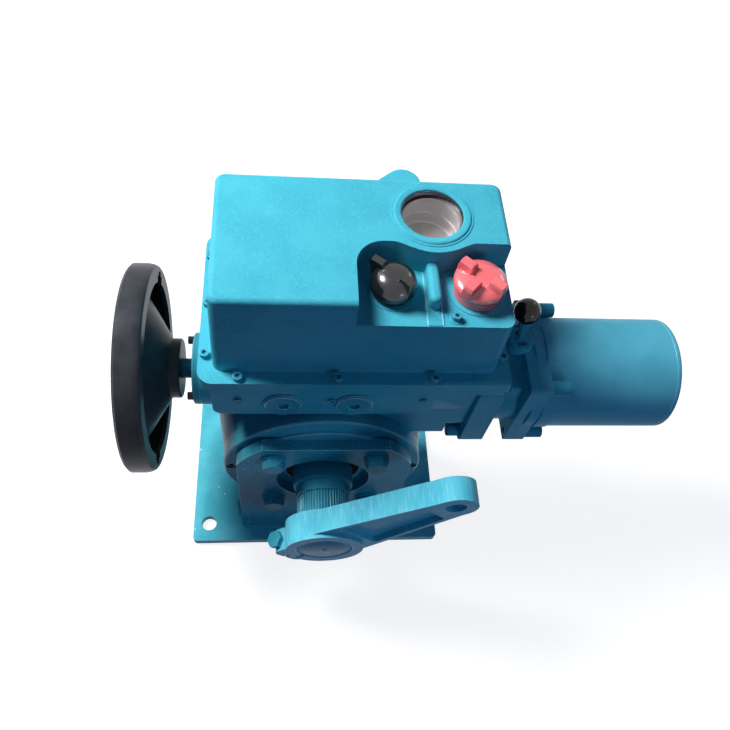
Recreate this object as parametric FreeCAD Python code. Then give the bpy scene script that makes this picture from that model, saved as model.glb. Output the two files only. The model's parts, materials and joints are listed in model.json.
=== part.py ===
"""Quarter-turn electric actuator on a foot bracket, with crank arm, handwheel and motor.

Millimetres, +Z up. The origin is the centre of the base bolt pattern on the underside of the base
plate. +X points to the motor, -Y to the crank. Every piece is written as one STEP file.
"""
import FreeCAD, Part
import math
import os

V = FreeCAD.Vector
X, Y, Z = V(1, 0, 0), V(0, 1, 0), V(0, 0, 1)

# Fits between pieces, as radial or face clearances
fit_run = 0.05          # a shaft in its bush
fit_seat = 0.02         # a spigot, bearing or screw in its seat
fit_slide = 0.3         # a loose or sliding gap
bolt_gap = 0.5          # a bolt in its clearance hole

# Base plate
base_x = 342.0
base_y = 250.0
base_t = 12.0
base_bolt_x = 300.0
base_bolt_y = 200.0
base_hole_r = 10.0
base_corner_r = 6.0

# Where the output shaft lies: its axis is along Y
shaft_z = 175.0         # axis above the underside of the base
face_y = -84.0          # front face of the side cover

# Upright bracket plate with its gussets and welds
bracket_w = 207.0
bracket_t = 14.0
bracket_top = 86.0      # flat top above the output axis
bracket_crown = 9.5     # the round top's radius over half the plate's width
bracket_bore_r = 57.0
bracket_bolt_pitch = 120.0
gusset_t = 10.0
gusset_x = 98.5
gusset_len = 60.0
gusset_high = 44.0
weld_leg = 6.0
side_bead_r = 3.5       # upright weld between plate and gusset, on their outer sides

# Bolts, each by its thread size: head across flats or diameter, head height
m16_r, m16_flat, m16_head = 8.0, 24.0, 10.0
m16_washer_r, m16_washer_t = 15.0, 3.0
m12_r, m12_flat, m12_head = 6.0, 18.0, 7.5
m12_nut = 10.0
m8_r, m8_cap_r, m8_cap = 4.0, 6.5, 8.0
m6_r, m6_cap_r, m6_cap, m6_key = 3.0, 5.0, 6.0, 5.0
m5_r, m5_cap_r, m5_cap = 2.5, 4.2, 3.0

# Side cover on the output side
cover_r = 121.0
cover_t = 19.0
pilot_r = 100.0
pilot_t = 4.0
cover_screw_pcd = 111.8
cover_screws_n = 2
cover_screw_len = 20.0
cover_boss_r = 56.0
cover_boss_t = 24.0     # how far the bush boss reaches inwards
spigot_len = 6.0        # how far the side cover and rear cover enter the gear case bore

# Output shaft, bushes and seal
journal_r = 33.0
spline_r = 31.5
spline_root_r = 29.8
spline_teeth = 56
centre_drill_r = 4.0
bush_wall = 5.0
seal_r = 45.0
seal_t = 9.0
shaft_out = 106.0       # shaft end in front of the side cover's face
spline_from = 42.0      # where the splines begin in front of that face

# Crank arm
crank_radius = 180.0
crank_angle = 42.6      # above +X in the pose of the photograph
crank_hub_r = 45.8
crank_hub_t = 34.0
crank_t = 27.0
crank_eye_r = 24.5
crank_eye_hole_r = 11.5
crank_rim = 6.0         # width of the flange round the arm's recess
crank_pocket = 7.0
clamp_reach = 62.0
clamp_w = 46.0
clamp_round = 11.0
clamp_slit = 4.0
clamp_bolt_at = 53.0

# Worm gear
worm_y = -10.0
worm_rise = 111.0       # worm axis above the output axis
gear_module = 3.5
wheel_teeth = 50
wheel_w = 46.0
wheel_hub_r = 52.0
wheel_hub_w = 61.4
wheel_rim_r = 76.0
wheel_web_w = 16.0
tooth_share = 0.47      # tooth thickness of wheel and worm as a share of the pitch
worm_len = 76.0
pressure_angle = 20.0
key_w = 18.0
key_h = 11.0
key_len = 50.0

# Gear case
drum_r = 130.0
drum_back_y = 45.0
drum_shoulder = 53.0    # the drum's draft ends this far behind its front
case_bore_r = 106.0
case_bolt_pcd = 117.0
worm_box = 58.0         # half width of the square worm housing
worm_box_round = 16.0
worm_bore_r = 31.0
left_boss_r = 41.0
left_end_x = -142.0
right_end_x = 177.0
case_flange = 64.5      # half width of the flange that carries the clutch neck
case_flange_t = 14.0
case_flange_round = 13.0
case_bolt_off = 52.0    # flange bolts from the worm axis, along Y and Z
bolt_notch_len = 22.0   # corner notch of the worm housing that frees a low flange bolt
bolt_notch_deep = 12.0  # past the bolt's axis, towards the worm
bolt_notch_up = 30.0
cover_gap = 1.5         # round the side and rear cover
pocket_gap = 1.5        # round a bolt head let into a casting

# Rear cover of the gear case
rear_r = 122.0
rear_t = 9.0
rear_boss_r = 50.0
rear_boss_t = 16.0
rear_screws_n = 6
rear_screw_len = 20.0

# Electrical housing, cast on the gear case
hous_x0, hous_x1 = -125.0, 173.0
hous_y0, hous_y1 = -69.0, 98.6
hous_floor_z = 301.0
hous_top_z = 359.0
hous_wall = 8.0
lip_t = 8.0
rim_x0, rim_x1 = -136.8, 187.9
rim_y0, rim_y1 = -80.9, 113.4
rim_t = 14.0
rim_round = 16.0
rim_round_right = 4.0
lip_inset = 2.0
gasket_t = 2.5

# Electrical cover
shell_x0, shell_x1 = -122.5, 173.1
shell_y0, shell_y1 = -66.1, 98.6
shell_h = 114.2         # cover's top above its rim
shell_draft = 3.2
shell_corner_r = 10.0
shell_edge_r = 6.0
shell_wall = 5.0
shelf_deep = 32.0       # knob shelf below the cover's top
shelf_x0 = 16.0
shelf_y1 = 12.6
shelf_corner_r = 20.0
rim_screw_inset = 6.6
lug_x = 69.0
lug_r = 18.0
lug_web_x = 36.0
lug_top = 3.0

# Window and position dial
window_x, window_y = 93.8, 48.1
window_r = 31.3
window_rim_r = 40.7
window_rim_h = 2.6
window_rim_soft = 2.2
window_step_r = 48.0
glass_r = 36.0
glass_t = 5.0
well_wall = 2.5
well_depth = 34.0
dial_t = 2.0

# Selector knobs on the shelf
knob_xs = {"black": 53.0, "red": 137.0}
knob_y = -22.4
knob_tabs = {"black": (135.0, -45.0), "red": (137.0, -133.0, -43.0)}
knob_skirt = {"black": (20.0, 4.0), "red": (21.0, 9.0)}     # radius and height
knob_widest = {"black": 8.0, "red": 13.0}                   # height of the largest ring
knob_dome = {"black": 27.0, "red": 22.5}                    # height of the dome
black_knob_r = 22.5
red_knob_r = 26.5
knob_h = 30.0           # to the top of the tabs
knob_tab_w = 11.0
knob_tab_from = 0.42    # tab starts at this share of the knob's radius
spindle_r = 5.0
spindle_len = 34.0
pad_h = 1.0
pad_over = 2.0
rib_x = 92.5
rib_w = 12.0
rib_h = 17.0
rib_band = 14.0         # low band under the rib, out to the shelf's edge
rib_band_h = 0.8
rib_front = 39.0        # rib's round end behind the face plane of the side cover
shelf_screw_x, shelf_screw_y = 112.8, -54.8

# Cable entry plate with its two blanking plugs
entry_x0, entry_x1 = -125.0, 113.0
entry_z0, entry_z1 = 301.0, 346.0
entry_t = 7.0
entry_corner_r = 12.0
plug_xs = (-50.3, 26.0)
plug_over_floor = 16.5  # plug axis above the compartment's floor
plug_head_r = 21.0
plug_head_t = 4.0
nut_gap = 1.5           # under the plug's nut
nut_wall = 2.5
plug_nut_t = 5.0
plug_key = 12.0
entry_screw_xs = (-97.4, 1.5, 101.0)
entry_screw_z = 333.5

# Worm shaft, its bearings, end cap and handwheel
worm_shaft_r = 11.0
worm_body_r = 16.0      # between the bearings
worm_stub = 8.0         # shaft end inside the handwheel's face
clutch_reach = 22.0     # shaft end past the gear case's flange
bearing_bore_r = 12.5
bearing_t = 17.0
bearing_ring = 5.0
bearing_left_x = -118.0
bearing_right_x = 101.0
endcap_r = 41.0
endcap_t = 8.0
endcap_screws_n = 3
endcap_screw_r = 36.0
endcap_screw_from = 180.0
endcap_screw_len = 20.0
wheel_r = 118.0
wheel_face_x = -218.2
wheel_rim_w = 27.5
wheel_rim_t = 7.0
wheel_lip_r = 97.0      # inner edge of the lip on the hub's side
wheel_lip_t = 5.0
wheel_dish_r = 96.0     # the cone starts here, at the bottom of the rim's groove
wheel_dish_t = 6.0
handhub_r = 34.0
handhub_x = -164.0
handhub_neck_r = 22.0
handhub_len = 16.0
handhub_nose = 6.0
handhub_rim = 11.0      # length of the hub's full radius
lip_notches_n = 4
lip_notch_from = 31.7
lip_notch_steps = ((13.0, 7.0), (7.5, 12.0))     # half width and depth

# Clutch neck between gear case and motor
neck_r = 57.0
neck_end_x = 231.7
neck_bore_r = 42.0
neck_flange_t = 12.7
neck_box_y0 = -61.0
neck_box_y1 = 20.0
neck_box_z = 333.0
motor_flange_round = 4.0
motor_bolt_edge = 9.2   # bolt centre from the flange's edge
motor_bolt_gap = 1.155  # between a bolt head and the motor's tube
motor_bolt_r = 8.5
motor_bolt_len = 22.0
stud_depth = 11.0       # how far the upper flange screws reach into the gear case
case_nut_len = 16.0
case_nut_r = 8.0
lever_x, lever_y = 213.7, -9.3
lever_boss_r = 15.0
lever_boss_z = 358.0
lever_pivot_z = 351.0
lever_hub_r = 8.0
lever_w = 10.0
lever_pin_r = 3.0
lever_tilt = 19.5
lever_len = 41.4
lever_rod_r = 4.6
ball_hole = 6.0
ball_r = 14.75
sleeve_r = 24.0
sleeve_w = 16.0

# Motor
motor_r = 65.3
motor_end_x = 404.8
motor_wall = 6.0
collar_over = 1.5       # collar's radius over the motor's
collar_len = 20.0
motor_cap_t = 7.0
stator_bore_r = 36.0
air_gap = 0.6
stator_len = 96.0
stator_x = 274.0
motor_shaft_r = 10.0
motor_bearing_r = 21.0
motor_bearing_t = 12.0

# Electrics inside
board_x0, board_x1 = -104.0, 58.0
board_y0, board_y1 = -58.5, 80.0
board_z = 355.0
board_t = 1.8
pillar_r = 4.0
terminal_y0, terminal_y1 = 44.0, 66.0
terminal_x0, terminal_x1 = -90.0, 60.0
terminal_h = 30.0
terminal_pitch = 10.0
terminal_hole_r, terminal_hole_h = 3.0, 6.0
rail_t = 4.0
transformer_x, transformer_y, transformer_h = 52.0, 50.0, 38.0
relay_x, relay_y, relay_h, relay_pitch = 16.0, 20.0, 16.0, 26.0
relays_n = 4
capacitor_r, capacitor_h, capacitor_pitch = 7.0, 24.0, 18.0
part_inset = 14.0       # board parts from the board's edge
switch_w = 56.0
switch_below = 20.7     # switch unit's top under the dial
switch_foot_h = 40.0
switch_foot_t = 14.0
switch_head_r, switch_head_h = 12.0, 14.0
switch_axle_r = 3.0
stage_out = 4.0         # cam switches stand out from the unit by this
stages_n = 3

# Values worked out from the ones above
worm_z = shaft_z + worm_rise
pitch = math.pi * gear_module
wheel_pitch_r = gear_module * wheel_teeth / 2
worm_pitch_r = worm_rise - wheel_pitch_r
worm_tip_r = worm_pitch_r + gear_module
worm_root_r = worm_pitch_r - 1.25 * gear_module
wheel_tip_r = wheel_pitch_r + gear_module
wheel_root_r = wheel_pitch_r - 1.25 * gear_module
bracket_round_r = bracket_w / 2 + bracket_crown
case_y0 = face_y + cover_t
bolt_tip_y = case_y0 - 2
rim_z0 = hous_top_z + gasket_t
rim_z1 = rim_z0 + rim_t
motor_bolt_off = (motor_r + motor_bolt_r + motor_bolt_gap) / math.sqrt(2)
motor_flange = motor_bolt_off + motor_bolt_edge
collar_r = motor_r + collar_over
plug_z = hous_floor_z + hous_wall + plug_over_floor
plug_nut_flat = 2 * (plug_over_floor - nut_gap)
plug_thread_r = plug_nut_flat / 2 - nut_wall
plate_y1 = face_y - pilot_t
plate_y0 = plate_y1 - bracket_t
bush_r = journal_r + fit_run + bush_wall
crank_y1 = face_y - shaft_out + crank_hub_t
crank_hub_front = face_y - shaft_out
drum_back = drum_back_y
worm_box_x0 = 60.0
shell_top_z = rim_z1 + shell_h
shelf_z = shell_top_z - shelf_deep
well_top_z = shell_top_z - shell_wall - glass_t
dial_z = well_top_z - well_depth
switch_top_z = dial_z - switch_below


def box(x0, x1, y0, y1, z0, z1):
    return Part.makeBox(x1 - x0, y1 - y0, z1 - z0, V(x0, y0, z0))


def at(axis, along, u, v):
    """Point at a distance along an axis; u and v are its other two coordinates in x, y, z order."""
    if axis == "x":
        return V(along, u, v)
    if axis == "y":
        return V(u, along, v)
    return V(u, v, along)


def direction(axis):
    return {"x": X, "y": Y, "z": Z}[axis]


def rod(axis, a, b, r, u=0.0, v=0.0):
    """Cylinder along an axis from a to b."""
    return Part.makeCylinder(r, b - a, at(axis, a, u, v), direction(axis))


def tube(axis, a, b, r_out, r_in, u=0.0, v=0.0):
    return rod(axis, a, b, r_out, u, v).cut(rod(axis, a, b, r_in, u, v))


def turned(axis, outline, u=0.0, v=0.0):
    """Solid of revolution: outline points are (distance along the axis, radius)."""
    if axis == "x":
        points = [V(a, u, v + r) for a, r in outline]
    elif axis == "y":
        points = [V(u, a, v + r) for a, r in outline]
    else:
        points = [V(u + r, v, a) for a, r in outline]
    face = Part.Face(Part.makePolygon(points + points[:1]))
    return face.revolve(at(axis, 0, u, v), direction(axis), 360)


def extruded(axis, wire, length):
    return Part.Face(wire).extrude(direction(axis) * length)


def rounded(axis, a, b, u0, u1, v0, v1, radii):
    """Plate from a to b along an axis with a rounded rectangle as outline.

    radii are for the corners (u0, v0), (u1, v0), (u1, v1), (u0, v1), or one number for all.
    """
    if not isinstance(radii, (tuple, list)):
        radii = (radii,) * 4
    corners = [(u0, v0, 180), (u1, v0, 270), (u1, v1, 0), (u0, v1, 90)]
    ends = []
    for (u, v, start), r in zip(corners, radii):
        cu = u + r if u == u0 else u - r
        cv = v + r if v == v0 else v - r
        arc = [(cu + r * math.cos(math.radians(start + t)), cv + r * math.sin(math.radians(start + t)))
               for t in (0, 45, 90)]
        ends.append([at(axis, a, p, q) for p, q in arc])
    edges = []
    for i, (first, middle, last) in enumerate(ends):
        edges.append(Part.Arc(first, middle, last).toShape())
        following = ends[(i + 1) % 4][0]
        edges.append(Part.LineSegment(last, following).toShape())
    return extruded(axis, Part.Wire(edges), b - a)


def polar(r, degrees):
    return r * math.cos(math.radians(degrees)), r * math.sin(math.radians(degrees))


def circle_places(n, r, start=0.0):
    """n places evenly round a circle as (u, v) offsets."""
    return [polar(r, start + 360.0 * k / n) for k in range(n)]


def hexagon(axis, a, b, flat, u, v, start=0.0):
    """Hexagonal prism by its width across flats."""
    points = [at(axis, a, u + p, v + q) for p, q in circle_places(6, flat / math.sqrt(3), start)]
    return extruded(axis, Part.makePolygon(points + points[:1]), b - a)


def corners_of(half_u, half_v=None):
    half_v = half_u if half_v is None else half_v
    return [(su * half_u, sv * half_v) for su in (-1, 1) for sv in (-1, 1)]


def join(*shapes):
    solid = shapes[0].fuse(list(shapes[1:]))
    return solid.removeSplitter()


def turn(shape, point, axis, angle):
    copy = shape.copy()
    copy.rotate(point, axis, angle)
    return copy


def softened(shape, r, chosen):
    """Fillet the edges whose centre of mass passes the test."""
    edges = [e for e in shape.Edges if chosen(e)]
    return shape.makeFillet(r, edges) if edges else shape


def cap_screw(axis, head_from, sense, head_r, head_t, thread_r, length, key, u, v):
    """Socket head screw; its head starts at head_from and its thread points along sense (+1 or -1)."""
    under = head_from + sense * head_t
    tip = under + sense * length
    head = rod(axis, min(head_from, under), max(head_from, under), head_r, u, v)
    thread = rod(axis, min(under, tip), max(under, tip), thread_r, u, v)
    deep = head_from + sense * head_t * 0.55
    socket = hexagon(axis, min(head_from, deep), max(head_from, deep), key, u, v)
    return head.fuse(thread).cut(socket)


# Foot: base plate, bracket plate, gussets, welds and bolts

def base_plate():
    plate = rounded("z", 0, base_t, -base_x / 2, base_x / 2, -base_y / 2, base_y / 2, base_corner_r)
    holes = [rod("z", 0, base_t, base_hole_r, u, v) for u, v in corners_of(base_bolt_x / 2, base_bolt_y / 2)]
    return plate.cut(holes)


def bracket_plate():
    half = bracket_w / 2
    shoulder = math.sqrt(bracket_round_r ** 2 - half ** 2)
    flat = math.sqrt(bracket_round_r ** 2 - bracket_top ** 2)
    middle = (math.atan2(shoulder, half) + math.atan2(bracket_top, flat)) / 2
    mid_x, mid_z = bracket_round_r * math.cos(middle), bracket_round_r * math.sin(middle)

    def place(x, z):
        return V(x, plate_y0, shaft_z + z)

    foot = base_t - shaft_z
    edges = [
        Part.LineSegment(place(-half, foot), place(half, foot)).toShape(),
        Part.LineSegment(place(half, foot), place(half, shoulder)).toShape(),
        Part.Arc(place(half, shoulder), place(mid_x, mid_z), place(flat, bracket_top)).toShape(),
        Part.LineSegment(place(flat, bracket_top), place(-flat, bracket_top)).toShape(),
        Part.Arc(place(-flat, bracket_top), place(-mid_x, mid_z), place(-half, shoulder)).toShape(),
        Part.LineSegment(place(-half, shoulder), place(-half, foot)).toShape(),
    ]
    plate = extruded("y", Part.Wire(edges), bracket_t)
    holes = [rod("y", plate_y0, plate_y1, bracket_bore_r, 0, shaft_z)]
    for u, v in corners_of(bracket_bolt_pitch / 2):
        holes.append(rod("y", plate_y0, plate_y1, m16_r + bolt_gap, u, shaft_z + v))
    return plate.cut(holes)


def bracket_gussets():
    solids = []
    for side in (-1, 1):
        x0 = side * gusset_x - gusset_t / 2
        toe = 6.0
        points = [V(x0, plate_y1, base_t), V(x0, plate_y1 + gusset_len, base_t),
                  V(x0, plate_y1 + gusset_len, base_t + toe), V(x0, plate_y1 + toe, base_t + gusset_high),
                  V(x0, plate_y1, base_t + gusset_high)]
        solids.append(extruded("x", Part.makePolygon(points + points[:1]), gusset_t))
    return solids


def fillet_weld(x0, x1, y, sense):
    points = [V(x0, y, base_t), V(x0, y + sense * weld_leg, base_t), V(x0, y, base_t + weld_leg)]
    return extruded("x", Part.makePolygon(points + points[:1]), x1 - x0)


def bracket_welds():
    half = bracket_w / 2
    inner = gusset_x - gusset_t / 2
    solids = [fillet_weld(-half, half, plate_y0, -1), fillet_weld(-inner, inner, plate_y1, 1)]
    for side in (-1, 1):
        bead = rod("z", base_t, base_t + gusset_high, side_bead_r, side * half, plate_y1)
        solids.append(bead.cut(box(-half, half, plate_y0, plate_y1 + gusset_len, base_t, shaft_z)))
    return solids


def bracket_bolts():
    solids = []
    for u, v in corners_of(bracket_bolt_pitch / 2):
        z = shaft_z + v
        washer_y = plate_y0 - m16_washer_t
        head_y = washer_y - m16_head
        head = hexagon("y", head_y, washer_y, m16_flat, u, z, 12 * u / abs(u))
        crown = turned("y", [(head_y, 0), (head_y, m16_flat / 2 - 0.8), (washer_y, m16_flat * 0.62),
                             (washer_y, 0)], u, z)
        washer = rod("y", washer_y, plate_y0, m16_washer_r, u, z)
        shank = rod("y", plate_y0, bolt_tip_y, m16_r, u, z)
        solids.append(join(head.common(crown), washer, shank))
    return solids


# Gear case, its covers and what they carry

def endcap_screw_places():
    return circle_places(endcap_screws_n, endcap_screw_r, endcap_screw_from)


def side_cover():
    pilot_y = face_y - pilot_t
    inner_y = case_y0 + spigot_len
    boss_y = case_y0 + cover_boss_t
    spigot_r = case_bore_r - fit_seat
    disc = turned("y", [(pilot_y, 0), (pilot_y, pilot_r - 1), (pilot_y + 1, pilot_r), (face_y, pilot_r),
                        (face_y, cover_r - 1.5), (face_y + 1.5, cover_r), (case_y0, cover_r),
                        (case_y0, spigot_r), (inner_y, spigot_r), (inner_y, cover_boss_r),
                        (boss_y, cover_boss_r), (boss_y, 0)], 0, shaft_z)
    cuts = [rod("y", pilot_y, boss_y, bush_r + fit_seat, 0, shaft_z),
            rod("y", pilot_y, pilot_y + seal_t, seal_r + fit_seat, 0, shaft_z)]
    for u, v in corners_of(bracket_bolt_pitch / 2):
        cuts.append(rod("y", pilot_y, bolt_tip_y + fit_slide, m16_r + fit_seat, u, shaft_z + v))
    for u, v in circle_places(cover_screws_n, cover_screw_pcd):
        cuts.append(rod("y", face_y, face_y + cover_t, m8_r + bolt_gap, u, shaft_z + v))
        cuts.append(rod("y", face_y, face_y + m8_cap + 2, m8_cap_r + bolt_gap, u, shaft_z + v))
    return disc.cut(cuts)


def side_cover_screws():
    return [cap_screw("y", face_y + 2, 1, m8_cap_r, m8_cap, m8_r, cover_screw_len, 6, u, shaft_z + v)
            for u, v in circle_places(cover_screws_n, cover_screw_pcd)]


def output_bushes():
    y0 = face_y - pilot_t + seal_t
    y1 = face_y + cover_t + cover_boss_t
    rear0 = drum_back - rear_boss_t + 2
    return [tube("y", y0, y1, bush_r, journal_r + fit_run, 0, shaft_z),
            tube("y", rear0, drum_back + rear_t - 4, bush_r, journal_r + fit_run, 0, shaft_z)]


def shaft_seal():
    y0 = face_y - pilot_t
    lip_r = journal_r + fit_run
    return turned("y", [(y0, lip_r + 2.5), (y0, seal_r), (y0 + seal_t, seal_r), (y0 + seal_t, lip_r + 4),
                        (y0 + 4, lip_r + 3), (y0 + 3, lip_r), (y0 + 1, lip_r)], 0, shaft_z)


def drum():
    """Round gear case body: drafted from the side cover back to its shoulder."""
    shoulder_y = case_y0 + drum_shoulder
    return turned("y", [(case_y0, 0), (case_y0, cover_r), (shoulder_y, drum_r), (drum_back - 2, drum_r),
                        (drum_back, drum_r - 2), (drum_back, 0)], 0, shaft_z)


def worm_square(a, b, half, r):
    """Square plate from a to b round the worm axis, by its half width and corner radius."""
    return rounded("x", a, b, worm_y - half, worm_y + half, worm_z - half, worm_z + half, r)


def worm_housing():
    flange_x = right_end_x - case_flange_t
    return [worm_square(worm_box_x0, flange_x, worm_box, worm_box_round),
            worm_square(flange_x, right_end_x, case_flange, case_flange_round),
            rod("x", left_end_x, -worm_box_x0, left_boss_r, worm_y, worm_z)]


def gear_case():
    lip = rounded("z", hous_top_z - lip_t, hous_top_z, rim_x0 + lip_inset, rim_x1 - lip_inset,
                  rim_y0 + lip_inset, rim_y1 - lip_inset,
                  (rim_round, rim_round_right, rim_round_right, rim_round))
    walls = rounded("z", hous_floor_z, hous_top_z, hous_x0, hous_x1, hous_y0, hous_y1, shell_corner_r)
    body = join(drum(), walls, lip, *worm_housing())
    inner = rounded("z", hous_floor_z + hous_wall, hous_top_z, hous_x0 + hous_wall, hous_x1 - hous_wall,
                    hous_y0 + hous_wall, hous_y1 - hous_wall, 6)
    worm_wall = rod("x", hous_x0, hous_x1, worm_bore_r + hous_wall, worm_y, worm_z)
    drum_wall = rod("y", case_y0, drum_back, case_bore_r + hous_wall, 0, shaft_z)
    compartment = inner.cut([worm_wall, drum_wall])
    cuts = [compartment,
            rod("y", face_y - pilot_t, case_y0, cover_r + cover_gap, 0, shaft_z),
            rod("y", drum_back, drum_back + rear_t + m6_cap, rear_r + cover_gap, 0, shaft_z),
            rod("y", case_y0, drum_back, case_bore_r, 0, shaft_z),
            rod("x", left_end_x, right_end_x, worm_bore_r, worm_y, worm_z)]
    for x in plug_xs:
        cuts.append(rod("y", hous_y0, hous_y0 + hous_wall, plug_thread_r + fit_slide, x, plug_z))
    for x in entry_screw_xs:
        cuts.append(rod("y", hous_y0, hous_y0 + hous_wall, m5_r + fit_seat, x, entry_screw_z))
    for u, v in circle_places(cover_screws_n, cover_screw_pcd):
        cuts.append(rod("y", case_y0, case_y0 + 13, m8_r + fit_seat, u, shaft_z + v))
    for u, v in circle_places(rear_screws_n, case_bolt_pcd, 30):
        cuts.append(rod("y", drum_back - 13, drum_back, m6_r + fit_seat, u, shaft_z + v))
    for u, v in endcap_screw_places():
        cuts.append(rod("x", left_end_x, left_end_x + 16, m6_r + fit_seat, worm_y + u, worm_z + v))
    flange_x = right_end_x - case_flange_t
    for u in (-case_bolt_off, case_bolt_off):
        low, high = worm_z - case_bolt_off, worm_z + case_bolt_off
        cuts.append(rod("x", flange_x, right_end_x, m8_r + bolt_gap, worm_y + u, low))
        inner = worm_y + u - math.copysign(bolt_notch_deep, u)
        outer = worm_y + math.copysign(case_flange, u)
        cuts.append(box(flange_x - bolt_notch_len, flange_x, min(inner, outer), max(inner, outer),
                        worm_z - case_flange, low + bolt_notch_up))
        cuts.append(rod("x", right_end_x - stud_depth, right_end_x, m8_r + fit_seat, worm_y + u, high))
    for x, y in rim_screw_places():
        cuts.append(rod("z", hous_top_z - lip_t, hous_top_z, m6_r + fit_seat, x, y))
    return body.cut(cuts)


def rear_cover():
    y0, y1 = drum_back, drum_back + rear_t
    disc = turned("y", [(y0 - rear_boss_t, 0), (y0 - rear_boss_t, rear_boss_r), (y0 - 5, rear_boss_r),
                        (y0 - 5, case_bore_r - fit_seat), (y0, case_bore_r - fit_seat), (y0, rear_r),
                        (y1 - 2, rear_r), (y1, rear_r - 2), (y1, rear_boss_r + 6), (y1 + 5, rear_boss_r),
                        (y1 + 5, 0)], 0, shaft_z)
    cuts = [rod("y", y0 - rear_boss_t, y1 - 4, bush_r + fit_seat, 0, shaft_z)]
    for u, v in circle_places(rear_screws_n, case_bolt_pcd, 30):
        cuts.append(rod("y", y0, y1, m6_r + bolt_gap, u, shaft_z + v))
    disc = disc.cut(cuts)
    ribs = []
    for k in range(rear_screws_n):
        rib = box(rear_boss_r - 2, case_bore_r - 4, y1, y1 + 5, shaft_z - 4, shaft_z + 4)
        ribs.append(turn(rib, V(0, 0, shaft_z), Y, 60 * k))
    return join(disc, *ribs)


def rear_cover_screws():
    y1 = drum_back + rear_t
    return [cap_screw("y", y1 + m6_cap, -1, m6_cap_r, m6_cap, m6_r, rear_screw_len, m6_key, u,
                      shaft_z + v)
            for u, v in circle_places(rear_screws_n, case_bolt_pcd, 30)]


# Output shaft with worm wheel and crank

def output_shaft():
    rear = drum_back + rear_t - 6
    body = turned("y", [(crank_hub_front, 0), (crank_hub_front, spline_root_r - 3),
                        (crank_hub_front + 1.5, spline_root_r), (face_y - spline_from, spline_root_r),
                        (face_y - spline_from, journal_r), (rear, journal_r), (rear, 0)], 0, shaft_z)
    step = 360.0 / spline_teeth
    foot_r = spline_root_r - 0.5
    spline_tooth = ((-0.32, foot_r), (-0.2, spline_r), (0.2, spline_r), (0.32, foot_r))
    outline = []
    for k in range(spline_teeth):
        for share, r in spline_tooth:
            p, q = polar(r, (k + share) * step)
            outline.append(V(p, crank_hub_front + 1.0, shaft_z + q))
    teeth = extruded("y", Part.makePolygon(outline + outline[:1]), shaft_out - spline_from - 1.0)
    front = crank_hub_front
    centre = turned("y", [(front, 0), (front, centre_drill_r), (front + centre_drill_r, 0)], 0, shaft_z)
    keyway = box(-key_w / 2, key_w / 2, worm_y - key_len / 2, worm_y + key_len / 2,
                 shaft_z - journal_r - 1, shaft_z - journal_r + key_h / 2)
    return body.fuse(teeth).cut([centre, keyway])


def wheel_key():
    gap = fit_seat
    return box(-key_w / 2 + gap, key_w / 2 - gap, worm_y - key_len / 2 + gap, worm_y + key_len / 2 - gap,
               shaft_z - journal_r - key_h / 2, shaft_z - journal_r + key_h / 2 - gap)


def half_tooth(r):
    """Half the angle of an involute wheel tooth at radius r."""
    def involute(angle):
        return math.tan(angle) - angle

    base_r = wheel_pitch_r * math.cos(math.radians(pressure_angle))
    here = math.acos(min(1.0, base_r / r))
    return pitch * tooth_share / 2 / wheel_pitch_r + involute(math.radians(pressure_angle)) - involute(here)


def wheel_outline(y, twist):
    """Tooth outline of the worm wheel in the plane at y, turned about the output axis by twist degrees."""
    step = 2 * math.pi / wheel_teeth
    radii = (wheel_root_r, wheel_pitch_r, wheel_tip_r)
    flank = [(-half_tooth(r), r) for r in radii] + [(half_tooth(r), r) for r in reversed(radii)]
    points = []
    for k in range(wheel_teeth):
        for half, r in flank:
            a = k * step + half + math.radians(twist)
            points.append(V(r * math.sin(a), y, shaft_z + r * math.cos(a)))
    return Part.makePolygon(points + points[:1])


def worm_wheel():
    slope = pitch / (2 * math.pi) / worm_pitch_r
    twist = math.degrees(slope * wheel_w / 2 / wheel_pitch_r)
    rim_y0, rim_y1 = worm_y - wheel_w / 2, worm_y + wheel_w / 2
    hub_y0, hub_y1 = worm_y - wheel_hub_w / 2, worm_y + wheel_hub_w / 2
    rim = Part.makeLoft([wheel_outline(rim_y0, -twist), wheel_outline(rim_y1, twist)], True, True)
    rim = rim.cut(rod("y", rim_y0, rim_y1, wheel_rim_r, 0, shaft_z))
    web = rod("y", worm_y - wheel_web_w / 2, worm_y + wheel_web_w / 2, wheel_rim_r, 0, shaft_z)
    hub = rod("y", hub_y0, hub_y1, wheel_hub_r, 0, shaft_z)
    bore = rod("y", hub_y0, hub_y1, journal_r + fit_seat, 0, shaft_z)
    key_z = shaft_z - journal_r - key_h / 2 - fit_seat
    keyway = box(-key_w / 2, key_w / 2, hub_y0, hub_y1, key_z, shaft_z)
    return rim.fuse(join(web, hub).cut([bore, keyway]))


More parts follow.
